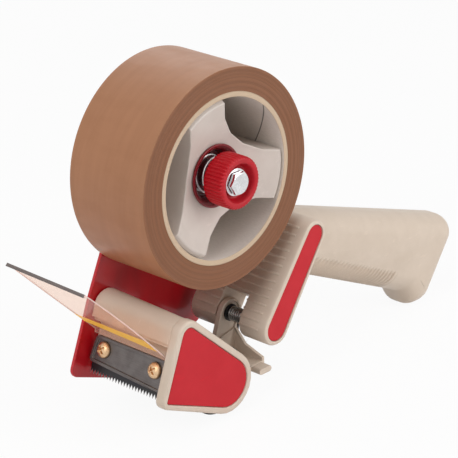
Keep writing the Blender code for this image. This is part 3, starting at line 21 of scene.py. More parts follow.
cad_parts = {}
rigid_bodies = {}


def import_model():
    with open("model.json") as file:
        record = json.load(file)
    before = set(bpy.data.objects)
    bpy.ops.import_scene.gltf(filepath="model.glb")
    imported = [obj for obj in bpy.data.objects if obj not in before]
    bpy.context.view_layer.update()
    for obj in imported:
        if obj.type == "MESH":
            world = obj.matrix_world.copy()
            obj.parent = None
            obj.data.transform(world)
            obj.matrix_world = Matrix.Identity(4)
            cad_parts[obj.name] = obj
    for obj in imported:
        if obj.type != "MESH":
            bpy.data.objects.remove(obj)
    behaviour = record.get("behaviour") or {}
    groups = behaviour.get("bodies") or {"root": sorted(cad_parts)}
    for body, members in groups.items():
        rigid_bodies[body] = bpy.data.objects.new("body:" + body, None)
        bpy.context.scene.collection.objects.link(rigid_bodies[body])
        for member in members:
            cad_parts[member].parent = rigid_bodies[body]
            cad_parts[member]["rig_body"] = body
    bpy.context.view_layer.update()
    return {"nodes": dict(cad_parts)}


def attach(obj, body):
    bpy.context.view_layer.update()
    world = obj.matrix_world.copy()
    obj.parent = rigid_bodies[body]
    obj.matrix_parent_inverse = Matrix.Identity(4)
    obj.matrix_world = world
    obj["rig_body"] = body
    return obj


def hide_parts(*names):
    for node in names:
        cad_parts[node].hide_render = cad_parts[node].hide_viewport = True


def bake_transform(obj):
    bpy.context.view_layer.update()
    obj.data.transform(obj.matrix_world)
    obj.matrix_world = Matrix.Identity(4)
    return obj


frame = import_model()

log = logging.getLogger("dispenser")

MM = 0.001
ROLL_AXIS = (-45.8, 116.0)  # X and Z of the roll's axis
ROLLER_AXIS = (-52.0, 17.0)
LEVER_AXIS = (-21.6, 35.2)
CHEEK_TOP = (-76.8, 49.8)  # middle of the cheek's upper curve
GAP = 0.3  # between pieces that touch
ROLL_RADIUS = 52.0
ROLL_HALF_WIDTH = 24.0
CORE_BORE = 38.1  # radius
Colour = tuple[float, float, float]
WHITE = (1.0, 1.0, 1.0)


def lit(red: int, green: int, blue: int) -> Colour:
    """Turn a colour as it shows on a screen into the linear values that a shader takes.

    Args:
        red: Its red part, 0 to 255.
        green: Its green part.
        blue: Its blue part.

    Returns:
        The three linear values, 0 to 1.
    """
    parts = np.array((red, green, blue)) / 255
    low = parts / 12.92
    high = ((parts + 0.055) / 1.055) ** 2.4
    return tuple(float(v) for v in np.where(parts <= 0.04045, low, high))


# Shader maths


def _operator(operation: str, reflected: bool = False) -> Callable[..., Signal]:
    """Make a method of Signal from an operation of the Math node.

    Args:
        operation: The operation.
        reflected: Whether the signal stands behind the other value.

    Returns:
        The method, which takes the other values, if any, and returns the result's signal.
    """

    def method(self: Signal, *others: Signal | float) -> Signal:
        """Add the Math node."""
        values = (*others, self) if reflected else (self, *others)
        return self.graph.add("ShaderNodeMath", {"operation": operation}, dict(enumerate(values)))

    return method


@dataclass(frozen=True)
class Signal:
    """One output of a node; arithmetic on it adds the Math nodes that work it out."""

    graph: Graph
    node: bpy.types.Node
    output: str | int = 0

    __add__ = __radd__ = _operator("ADD")
    __sub__ = _operator("SUBTRACT")
    __rsub__ = _operator("SUBTRACT", reflected=True)
    __mul__ = __rmul__ = _operator("MULTIPLY")
    __truediv__ = _operator("DIVIDE")
    __rtruediv__ = _operator("DIVIDE", reflected=True)
    __pow__ = _operator("POWER")
    __rpow__ = _operator("POWER", reflected=True)
    __abs__ = _operator("ABSOLUTE")
    part = _operator("FRACT")  # what is left past its whole number
    larger = _operator("MAXIMUM")  # this or the other
    angle_to = _operator("ARCTAN2")  # whose tangent is this over the other, in radians

    def out(self, output: str | int) -> Signal:
        """Another output of the same node."""
        return Signal(self.graph, self.node, output)

    def band(self, low: float, high: float) -> Signal:
        """Ramp smoothly between two values.

        Args:
            low: Where the result is 0.
            high: Where the result is 1; it may lie under low.

        Returns:
            The ramp's value, 0 to 1.
        """
        sockets = {"Value": self, "From Min": low, "From Max": high}
        return self.graph.add("ShaderNodeMapRange", {"interpolation_type": "SMOOTHSTEP"}, sockets)


class Graph:
    """A node tree and the one way to add nodes to it."""

    def __init__(self, owner: bpy.types.Material | bpy.types.World) -> None:
        """Clear the tree of a material or a world.

        Args:
            owner: The material or the world.
        """
        owner.use_nodes = True
        self.tree = owner.node_tree
        self.tree.nodes.clear()

    def add(self, kind: str, settings: dict | None = None, sockets: dict | None = None) -> Signal:
        """Add any node.

        Args:
            kind: The node's type.
            settings: Its own settings, which are set first.
            sockets: Values or signals for its sockets, by name or number.

        Returns:
            The node's first output.
        """
        made = Signal(self, self.tree.nodes.new(kind))
        for key, value in (settings or {}).items():
            setattr(made.node, key, value)
        self.feed(made, sockets or {})
        return made

    def feed(self, target: Signal, sockets: dict) -> None:
        """Set or link sockets of a node.

        Args:
            target: An output of the node.
            sockets: Values, colours or signals for its sockets, by name or number.
        """
        for key, value in sockets.items():
            socket = target.node.inputs[key]
            if isinstance(value, Signal):
                self.tree.links.new(value.node.outputs[value.output], socket)
            else:
                socket.default_value = (*value, 1.0) if socket.type == "RGBA" else value

    def seen(self, low: float, high: float) -> Signal:
        """Give one value to what the camera, gloss or glass sees, and another to other rays.

        Args:
            low: The value for other rays.
            high: The value for rays that see.

        Returns:
            The value.
        """
        ray = self.add("ShaderNodeLightPath")
        sees = ray.out("Is Camera Ray").larger(ray.out("Is Glossy Ray")).larger(ray.out("Is Transmission Ray"))
        return self.add("ShaderNodeMapRange", sockets={"Value": sees, "To Min": low, "To Max": high})


class Recipe(Graph):
    """A material while it is mixed: its shader, and patterns in millimetres."""

    def __init__(self, name: str) -> None:
        """Start a material with a Principled shader and its output.

        Args:
            name: The material's name.
        """
        self.material = bpy.data.materials.new(name)
        super().__init__(self.material)
        self.shader = self.add("ShaderNodeBsdfPrincipled")
        self.output = self.add("ShaderNodeOutputMaterial", sockets={"Surface": self.shader})
        self.place = self._scaled(self.add("ShaderNodeTexCoord").out("Object"), 1 / MM)

    def _scaled(self, vector: Signal, factor: float) -> Signal:
        """A vector times a number."""
        return self.add("ShaderNodeVectorMath", {"operation": "SCALE"}, {0: vector, "Scale": factor})

    def parts(self) -> tuple[Signal, Signal, Signal]:
        """X, Y and Z of the surface, in millimetres."""
        split = self.add("ShaderNodeSeparateXYZ", sockets={0: self.place})
        return split, split.out(1), split.out(2)

    def round_about(self, axis: tuple[float, float]) -> tuple[Signal, Signal, Signal]:
        """Give the surface's place about a line along Y.

        Args:
            axis: X and Z of the line.

        Returns:
            Distance from the line, way along it, and angle about it with its seam to the rear.
        """
        x, y, z = self.parts()
        across = x - axis[0]
        up = z - axis[1]
        return (across * across + up * up) ** 0.5, y, up.angle_to(across * -1.0)

    def noise(
        self, size: float, stretch: tuple[float, ...] = (1, 1, 1), detail: float = 2, roughness: float = 0.5
    ) -> Signal:
        """Cloudy noise.

        Args:
            size: How large its patches are, in millimetres.
            stretch: How much longer they are along X, Y and Z.
            detail: How many finer layers it has.
            roughness: How strong the finer layers are.

        Returns:
            The noise, about 0.3 to 0.7.
        """
        scale = tuple(1 / (size * s) for s in stretch)
        place = self.add("ShaderNodeVectorMath", {"operation": "MULTIPLY"}, {0: self.place, 1: scale})
        sockets = {"Vector": place, "Scale": 1.0, "Detail": detail, "Roughness": roughness}
        return self.add("ShaderNodeTexNoise", sockets=sockets)

    def noise_along(self, way: Signal, size: float, detail: float = 2) -> Signal:
        """Noise that changes along one value alone.

        Args:
            way: The value, in millimetres.
            size: How long its patches are.
            detail: How many finer layers it has.

        Returns:
            The noise, about 0.3 to 0.7.
        """
        sockets = {"W": way / size, "Scale": 1.0, "Detail": detail}
        return self.add("ShaderNodeTexNoise", {"noise_dimensions": "1D"}, sockets)

    def pebbles(self, size: float) -> Signal:
        """Distance from the middles of random cells of that size, about 0 to 1."""
        return self.add("ShaderNodeTexVoronoi", sockets={"Vector": self._scaled(self.place, 1 / size), "Scale": 1.0})

    def tint(self, share: Signal | float, first: Colour | Signal, second: Colour | Signal) -> Signal:
        """Mix two colours.

        Args:
            share: How much of the second there is.
            first: A colour or a colour signal.
            second: Another.

        Returns:
            The mixed colour.
        """
        return self.add("ShaderNodeMix", {"data_type": "RGBA"}, {0: share, 6: first, 7: second}).out(2)

    def surface(self, **sockets: Signal | Colour | float) -> None:
        """Set the shader's sockets; an underscore in a name stands for a space."""
        self.feed(self.shader, {key.replace("_", " "): value for key, value in sockets.items()})

    def relief(self, height: Signal, depth: float) -> None:
        """Raise the surface by a pattern.

        Args:
            height: The pattern, 0 to 1.
            depth: How deep the whole of it is, in millimetres.
        """
        sockets = {"Height": height, "Distance": depth * MM, "Strength": 1.0}
        self.feed(self.shader, {"Normal": self.add("ShaderNodeBump", sockets=sockets)})

    def filter(self, tint: Colour, share: float) -> None:
        """Let light pass through a part of the surface as through tinted glass.

        Args:
            tint: The light that passes.
            share: How much of the surface does so.
        """
        clear = self.add("ShaderNodeBsdfTransparent", sockets={"Color": tint})
        mixed = self.add("ShaderNodeMixShader", sockets={0: share, 1: self.shader, 2: clear})
        self.feed(self.output, {"Surface": mixed})


# Finishes


@dataclass(frozen=True)
class Finish:
    """What each finish has: its own name and a slot name."""

    name: str
    slot: str

    def material(self) -> bpy.types.Material:
        """Give the finish's material, and mix it the first time that it is asked for.

        Returns:
            The material.
        """
        made = bpy.data.materials.get(self.name)
        if made is None:
            recipe = Recipe(self.name)
            self.blend(recipe)
            made = recipe.material
        return made

    def blend(self, recipe: Recipe) -> None:
        """Mix the finish in a recipe."""
        raise NotImplementedError


@dataclass(frozen=True)
class MouldedPlastic(Finish):
    """Spark-eroded mould skin: fine grain, faint flow clouds and a few rubbed streaks."""

    colour: Colour
    deep: Colour
    roughness: float = 0.42
    grain: float = 0.35
    depth: float = 0.012

    def blend(self, recipe: Recipe) -> None:
        """Mix the plastic.

        Args:
            recipe: The material while it is mixed.
        """
        cloud = recipe.noise(14, detail=4).band(0.3, 0.7)
        grain = recipe.noise(self.grain, detail=2)
        pebble = recipe.pebbles(self.grain * 1.6)
        flow = recipe.noise(5, (1, 6, 1), 3).band(0.35, 0.7)
        rub = recipe.noise(0.9, (9, 1, 3), 4).band(0.62, 0.74)
        body = recipe.tint(cloud * 0.22 + flow * 0.14 + grain * 0.3, self.colour, self.deep)
        pale = tuple(min(1.0, c * 1.12 + 0.01) for c in self.colour)
        recipe.surface(
            Base_Color=recipe.tint(rub * 0.35, body, pale),
            Roughness=self.roughness + (grain - 0.5) * 0.25 + rub * 0.12 + cloud * 0.05,
            Specular_IOR_Level=0.36,
        )
        recipe.relief(grain * 0.55 + pebble * 0.3 + rub * 0.3 + cloud * 0.4, self.depth)


@dataclass(frozen=True)
class PaintedSteel(Finish):
    """Stove enamel on pressed steel: orange peel, a clear top, rubbed and specked places."""

    colour: Colour
    deep: Colour

    def blend(self, recipe: Recipe) -> None:
        """Mix the enamel.

        Args:
            recipe: The material while it is mixed.
        """
        peel = recipe.noise(1.6, detail=2)
        sag = recipe.noise(9, (1, 1, 3), 3).band(0.3, 0.72)
        speck = recipe.noise(0.5, detail=1).band(0.7, 0.76)
        wipe = recipe.noise(1.1, (2, 3, 14), 4).band(0.6, 0.75)
        body = recipe.tint(sag * 0.6, self.colour, self.deep)
        recipe.surface(
            Base_Color=recipe.tint(speck * 0.4, body, self.deep),
            Roughness=0.34 + wipe * 0.14 + sag * 0.05,
            Specular_IOR_Level=0.35,
            Coat_Weight=0.4 - wipe * 0.3,
            Coat_Roughness=0.1,
        )
        recipe.relief(peel + sag * 0.6, 0.02)


class Grain(Enum):
    """Which way the working marks of a metal run."""

    ALONG_Y = (0.12, 14.0, 0.12)
    EVEN = (1.0, 1.0, 1.0)


@dataclass(frozen=True)
class BareMetal(Finish):
    """Metal with working marks, handling haze and small spots."""

    colour: Colour
    deep: Colour
    roughness: float
    grain: Grain = Grain.EVEN
    size: float = 0.9
    depth: float = 0.006
    metallic: float = 1.0

    def blend(self, recipe: Recipe) -> None:
        """Mix the metal.

        Args:
            recipe: The material while it is mixed.
        """
        marks = recipe.noise(self.size, self.grain.value, 4, 0.6)
        haze = recipe.noise(5, detail=4).band(0.35, 0.7)
        spots = recipe.noise(0.6, detail=2).band(0.66, 0.76)
        body = recipe.tint(marks.band(0.3, 0.7) * 0.5 + haze * 0.4, self.colour, self.deep)
        recipe.surface(
            Base_Color=recipe.tint(spots * 0.4, body, self.deep),
            Metallic=self.metallic - spots * 0.25,
            Roughness=self.roughness + (marks - 0.5) * 0.3 + haze * 0.1,
        )
        recipe.relief(marks + spots * 0.4, self.depth)


@dataclass(frozen=True)
class BladeSteel(Finish):
    """Dark hardened strip, ground bright towards the tips of its teeth."""

    colour: Colour
    ground: Colour
    tip: tuple[float, float]  # X and Z of the line of the tips
    up: tuple[float, float]  # way up the blade in X and Z

    def blend(self, recipe: Recipe) -> None:
        """Mix the strip.

        Args:
            recipe: The material while it is mixed.
        """
        x, _, z = recipe.parts()
        rise = (x - self.tip[0]) * self.up[0] + (z - self.tip[1]) * self.up[1]
        rolled = recipe.noise(0.7, Grain.ALONG_Y.value, 4)
        grind = recipe.noise(0.12, detail=3)
        edge = (rise + (grind - 0.5) * 0.5).band(1.9, 0.7)
        oil = recipe.noise(4, (1, 3, 1), 3).band(0.4, 0.7)
        recipe.surface(
            Base_Color=recipe.tint(edge * 0.75, recipe.tint(oil * 0.5, self.colour, (0.03, 0.03, 0.04)), self.ground),
            Metallic=0.85 + edge * 0.15,
            Roughness=0.38 + (rolled - 0.5) * 0.3 - edge * 0.1 + oil * 0.06,
        )
        recipe.relief(rolled * (1.0 - edge) + grind * edge, 0.008)


@dataclass(frozen=True)
class Rubber(Finish):
    """Matt rubber with a ground skin and pale dust."""

    colour: Colour

    def blend(self, recipe: Recipe) -> None:
        """Mix the rubber.

        Args:
            recipe: The material while it is mixed.
        """
        ground = recipe.noise(0.4, (1, 5, 1), 3)
        dust = recipe.noise(7, detail=5).band(0.45, 0.75)
        pit = recipe.pebbles(0.9).band(0.25, 0.05)
        recipe.surface(
            Base_Color=recipe.tint(dust * 0.12, self.colour, (0.2, 0.19, 0.18)),
            Roughness=0.68 + (ground - 0.5) * 0.25 + dust * 0.08,
            Specular_IOR_Level=0.35,
        )
        recipe.relief(ground - pit * 0.4, 0.03)


@dataclass(frozen=True)
class WoundBoard(Finish):
    """Spirally wound board: tan fuzzy edges with plies, a grey liner and the liner's seam."""

    edge: Colour
    liner: Colour
    inner: float = CORE_BORE
    half_width: float = ROLL_HALF_WIDTH
    seam_lead: float = 150.0
    seam_start: float = 0.022

    def blend(self, recipe: Recipe) -> None:
        """Mix the board.

        Args:
            recipe: The material while it is mixed.
        """
        radius, y, angle = recipe.round_about(ROLL_AXIS)
        inside = radius.band(self.inner + 0.35, self.inner + 0.15)
        bore = inside * abs(y).band(self.half_width - 0.1, self.half_width - 0.35)
        plies = recipe.noise_along(radius, 0.45, 2)
        fibre = recipe.noise(0.5, (1, 4, 1), 4)
        fuzz = recipe.noise(0.22, detail=3)
        turn = (y / self.seam_lead - angle / (2 * math.pi) + self.seam_start).part()
        seam = abs(turn - 0.5).band(0.0035, 0.0012) * bore
        lap = turn.band(0.46, 0.54)
        board = recipe.tint(plies.band(0.35, 0.65) * 0.55 + fuzz * 0.3, self.edge, tuple(c * 0.72 for c in self.edge))
        paper = recipe.tint(fibre.band(0.3, 0.7) * 0.35 + lap * 0.25, self.liner, tuple(c * 0.8 for c in self.liner))
        colour = recipe.tint(bore, board, paper)
        recipe.surface(
            Base_Color=recipe.tint(seam * 0.8, colour, (0.07, 0.065, 0.06)),
            Roughness=0.86 - bore * 0.14 + (fibre - 0.5) * 0.1,
            Specular_IOR_Level=0.25,
        )
        recipe.relief(fibre * 0.5 + fuzz * 0.4 + lap * 0.2 - seam, 0.06)


@dataclass(frozen=True)
class WoundTape(Finish):
    """Brown film wound on itself: a satin outside with faint wrinkles, sides of fine turns."""

    outside: Colour
    outside_deep: Colour
    side: Colour
    side_deep: Colour
    radius: float = ROLL_RADIUS
    half_width: float = ROLL_HALF_WIDTH

    def blend(self, recipe: Recipe) -> None:
        """Mix the film.

        Args:
            recipe: The material while it is mixed.
        """
        radius, y, angle = recipe.round_about(ROLL_AXIS)
        side = abs(y).band(self.half_width - 0.3, self.half_width - 0.12)
        turns = recipe.noise_along(radius, 0.16, 3)
        bundles = recipe.noise_along(radius, 1.3, 2).band(0.35, 0.65)
        rim = radius.band(self.radius - 0.9, self.radius - 0.1)
        smear = recipe.noise(2.4, (1, 0.5, 1), 4)
        bands = recipe.noise(6, (12, 1, 12), 3).band(0.35, 0.68)
        bubbles = recipe.noise(7, (1, 2.6, 1), 4).band(0.4, 0.7)
        slant = recipe.noise_along(y + angle * 9.0, 5.0, 3).band(0.4, 0.66)
        fine = recipe.noise(0.35, (8, 1, 8), 2)
        wound = turns.band(0.3, 0.7) * 0.45 + bundles * 0.4 + smear * 0.2
        flank = recipe.tint(rim * 0.35, recipe.tint(wound, self.side, self.side_deep), self.outside)
        skin = recipe.tint(bands * 0.35 + bubbles * 0.25 + slant * 0.2, self.outside, self.outside_deep)
        recipe.surface(
            Base_Color=recipe.tint(side, skin, flank),
            Roughness=0.4 + side * 0.12 + bubbles * 0.05 + (fine - 0.5) * 0.1,
            Specular_IOR_Level=0.35,
        )
        skin_height = bubbles * 0.3 + bands * 0.25 + slant * 0.2 + fine * 0.1
        recipe.relief(side * (turns * 1.1 + bundles * 0.3) + (1.0 - side) * skin_height, 0.05)


@dataclass(frozen=True)
class ClearSheet(Finish):
    """Thin clear plastic sheet: rose tint, wiping scratches and dust, and a painted glow: emission that stands in for
    the light coming through it from behind.
    """

    colour: Colour
    passed: Colour
    cover: float
    # strength of the painted glow, an emission that stands in for light from behind
    glow: float
    clear: float = 0.6

    def blend(self, recipe: Recipe) -> None:
        """Mix the sheet.

        Args:
            recipe: The material while it is mixed.
        """
        wipe = recipe.noise(0.5, (1, 18, 1), 4).band(0.58, 0.72)
        haze = recipe.noise(9, (1, 2, 1), 4).band(0.35, 0.72)
        dust = recipe.noise(0.35, detail=2).band(0.7, 0.76)
        recipe.surface(
            Base_Color=recipe.tint(haze * 0.4, self.colour, tuple(c * 0.86 for c in self.colour)),
            Roughness=0.06 + wipe * 0.16 + haze * 0.05,
            Specular_IOR_Level=0.2,
            IOR=1.25,
            # painted light: the sheet's own colour glows as emission, in place of light shining through it from behind
            Emission_Color=self.colour,
            Emission_Strength=self.glow,
            Alpha=self.cover + wipe * 0.08 + haze * 0.06 + dust * 0.12,
        )
        recipe.relief(haze + wipe * 0.2, 0.03)
        recipe.filter(self.passed, self.clear)


@dataclass(frozen=True)
class CutEdge(Finish):
    """Sheared edge of a sheet or strip of film, with drag marks across it."""

    colour: Colour
    deep: Colour
    cover: float = 1.0
    # strength of a painted glow, emission that stands in for light; 0 leaves none
    glow: float = 0.0

    def blend(self, recipe: Recipe) -> None:
        """Mix the edge.

        Args:
            recipe: The material while it is mixed.
        """
        drag = recipe.noise(0.35, (1, 1, 5), 3).band(0.35, 0.68)
        patch = recipe.noise(4, detail=3).band(0.35, 0.7)
        recipe.surface(
            Base_Color=recipe.tint(drag * 0.5 + patch * 0.3, self.colour, self.deep),
            Roughness=0.35 + drag * 0.2,
            # painted light: emission makes the surface glow; only the yellow film is given any
            Emission_Color=self.colour,
            Emission_Strength=self.glow,
            Alpha=self.cover - patch * 0.05,
        )
        recipe.relief(drag, 0.02)


CREAM = MouldedPlastic("cream_moulding", "cream_plastic", lit(226, 209, 192), lit(210, 192, 173))
HUB_CREAM = MouldedPlastic("hub_moulding", "cream_plastic", lit(218, 206, 197), lit(202, 189, 179), 0.36)
RED_SATIN = MouldedPlastic("red_panel", "red_plastic", lit(208, 28, 42), lit(192, 20, 34), 0.52, 0.28, 0.014)
KNOB_RED = MouldedPlastic("red_knob", "red_plastic", lit(198, 8, 30), lit(168, 5, 22), 0.4, 0.3, 0.008)
CUP_RED = MouldedPlastic("deep_red_cup", "dark_red_plastic", lit(136, 6, 22), lit(96, 4, 16), 0.26, 0.3, 0.006)
ENAMEL = PaintedSteel("red_enamel", "red_paint", lit(204, 12, 30), lit(176, 8, 22))
STEEL = BareMetal("plain_steel", "steel", (0.55, 0.55, 0.56), (0.36, 0.36, 0.37), 0.3)
SPRING_STEEL = BareMetal("spring_wire", "steel", (0.86, 0.84, 0.84), (0.66, 0.64, 0.64), 0.3)
GREY_WIRE = BareMetal("grey_spring_wire", "steel", (0.45, 0.44, 0.42), (0.26, 0.25, 0.24), 0.3)
CLAMP_STEEL = BareMetal(
    "satin_clamp_steel", "clamp_steel", lit(118, 112, 110), lit(92, 86, 85), 0.36, Grain.ALONG_Y, 0.8, 0.01, 0.75
)
YELLOW_ZINC = BareMetal("yellow_zinc_plate", "yellow_zinc", lit(226, 194, 156), lit(190, 146, 106), 0.36)
BRIGHT_ZINC = BareMetal("bright_zinc_plate", "bright_zinc", (0.78, 0.78, 0.79), (0.6, 0.6, 0.61), 0.16)
BLACK_STEEL = BareMetal("blackened_steel", "black_steel", (0.03, 0.03, 0.03), (0.015, 0.015, 0.015), 0.45, metallic=0.3)
RUBBER = Rubber("roller_rubber", "black_rubber", (0.022, 0.021, 0.021))
NYLON = MouldedPlastic("white_nylon", "nylon", (0.72, 0.71, 0.68), (0.6, 0.59, 0.55), 0.38)
BOARD = WoundBoard("core_board", "cardboard", lit(222, 196, 168), lit(232, 223, 214))
TAPE = WoundTape(
    "wound_tape", "brown_tape", lit(176, 124, 90), lit(164, 113, 80), lit(146, 96, 66), lit(124, 80, 53)
)
# the last value, 0.1, is the strength of the sheet's painted glow (emission standing in for light from behind)
SHEET = ClearSheet("rose_clear_sheet", "clear_sheet", lit(255, 218, 206), (0.98, 0.86, 0.78), 0.36, 0.1)
SHEET_EDGE = CutEdge("sheet_lip", "clear_sheet", lit(118, 106, 102), lit(92, 82, 80))
# the pale pink-white colour of the sheet's cut sides is a painted highlight
SHEET_SIDE = CutEdge("sheet_side", "clear_sheet", lit(250, 222, 214), lit(240, 205, 196), 0.8)
# its last value, 0.12, is a painted glow that brightens the strip as if lit from behind
YELLOW_FILM = CutEdge("yellow_film", "clear_sheet", lit(255, 206, 84), lit(250, 180, 56), 0.88, 0.12)


# Shapes


@dataclass
class Shell:
    """Points in millimetres and the four-sided faces between them."""

    points: np.ndarray
    faces: np.ndarray

    def __add__(self, other: Shell) -> Shell:
        """Both shells as one."""
        moved = other.faces + len(self.points)
        return Shell(np.concatenate((self.points, other.points)), np.concatenate((self.faces, moved)))


def woven(points: np.ndarray, round_rows: bool = False, round_columns: bool = True) -> Shell:
    """Join a grid of points with faces: each faces (i, j), (i, j+1), (i+1, j+1), (i+1, j).

    Args:
        points: Rows by columns by three.
        round_rows: Whether the last row joins the first.
        round_columns: Whether the last column joins the first.

    Returns:
        The shell.
    """
    rows, columns = points.shape[:2]
    i = np.arange(rows if round_rows else rows - 1)[:, None]
    j = np.arange(columns if round_columns else columns - 1)[None, :]
    down, on = (i + 1) % rows, (j + 1) % columns
    corners = (i * columns + j, i * columns + on, down * columns + on, down * columns + j)
    faces = np.stack(np.broadcast_arrays(*corners), axis=-1).reshape(-1, 4)
    return Shell(points.reshape(-1, 3), faces)


def slab(upper: np.ndarray, lower: np.ndarray) -> Shell:
    """Close two layers of points into a slab.

    Args:
        upper: One layer, rows by columns by three.
        lower: The other.

    Returns:
        The slab; the faces of its two sides come last.
    """
    rows, columns = upper.shape[:2]
    shell = woven(np.concatenate((upper, lower[::-1])), round_rows=True, round_columns=False)
    i = np.arange(rows - 1)
    side = np.stack((i, i + 1, 2 * rows - 2 - i, 2 * rows - 1 - i), axis=1) * columns
    return Shell(shell.points, np.concatenate((shell.faces, side, side + columns - 1)))


def around(steps: int) -> np.ndarray:
    """A row of that many angles, evenly spaced over a full turn."""
    return np.linspace(0, 2 * math.pi, steps, endpoint=False)[None, :]


def about(axis: tuple[float, float], radius: np.ndarray | float, y: np.ndarray, angle: np.ndarray) -> np.ndarray:
    """Give points about a line along Y: (x, y, z) = (ax + r cos a, y, az + r sin a).

    Args:
        axis: X and Z of the line.
        radius: Distance of each point from the line.
        y: Its way along the line.
        angle: Its angle about the line.

    Returns:
        The points, three values each.
    """
    radius, y, angle = np.broadcast_arrays(radius, y, angle)
    return np.stack((axis[0] + radius * np.cos(angle), y, axis[1] + radius * np.sin(angle)), axis=-1)


def eased(corners: list[tuple[float, float, float]], steps: int = 4) -> np.ndarray:
    """Round the corners of a profile.

    Each corner p with a radius r becomes a quadratic curve from p + r a to p + r b, where a and b
    point to its neighbours: (1-t)^2 start + 2t(1-t) p + t^2 end.

    Args:
        corners: Two values and a radius for each corner of a closed profile.
        steps: Points on each rounded corner, less one.

    Returns:
        The profile's points, in order.
    """
    at = np.array([c[:2] for c in corners], float)
    radius = np.array([c[2] for c in corners], float)[:, None]
    back = np.roll(at, 1, axis=0) - at
    on = np.roll(at, -1, axis=0) - at
    start = at + radius * back / np.maximum(np.linalg.norm(back, axis=1, keepdims=True), 1e-9)
    end = at + radius * on / np.maximum(np.linalg.norm(on, axis=1, keepdims=True), 1e-9)
    t = np.linspace(0, 1, steps + 1)[None, :, None]
    curve = (1 - t) ** 2 * start[:, None] + 2 * t * (1 - t) * at[:, None] + t**2 * end[:, None]
    return curve.reshape(-1, 2)


def turned(profile: np.ndarray, axis: tuple[float, float], segments: int, closed: bool = True) -> Shell:
    """Carry a profile round a line along Y.

    Args:
        profile: Radius and Y of each point.
        axis: X and Z of the line.
        segments: Steps round the line.
        closed: Whether the profile's last point joins its first.

    Returns:
        The shell.
    """
    return woven(about(axis, profile[:, :1], profile[:, 1:], around(segments)), round_rows=closed)


def wire(path: np.ndarray, radius: float, sides: int = 12) -> Shell:
    """Carry a circle along a path that never runs along Y, and close its ends.

    The circle at path point p is p + r (cos a N + sin a B), where N is Y crossed with the tangent and
    B is the tangent crossed with N. Two smaller rings a fifth of r beyond each end close it.

    Args:
        path: The middle line's points.
        radius: Of the wire.
        sides: Steps round the wire.

    Returns:
        The closed shell.
    """
    tangent = np.gradient(path, axis=0)
    tangent /= np.linalg.norm(tangent, axis=1, keepdims=True)
    normal = np.cross((0.0, 1.0, 0.0), tangent)
    normal /= np.linalg.norm(normal, axis=1, keepdims=True)
    binormal = np.cross(tangent, normal)
    ends = np.r_[0, 0, np.arange(len(path)), len(path) - 1, len(path) - 1]
    share = np.r_[0.0, 0.75, np.ones(len(path)), 0.75, 0.0] * radius
    reach = np.r_[1.0, 1.0, np.zeros(len(path)), -1.0, -1.0] * -0.2 * radius
    a = around(sides)[..., None]
    ring = np.cos(a) * normal[ends, None] + np.sin(a) * binormal[ends, None]
    middle = path[ends] + tangent[ends] * reach[:, None]
    return woven(middle[:, None] + share[:, None, None] * ring)


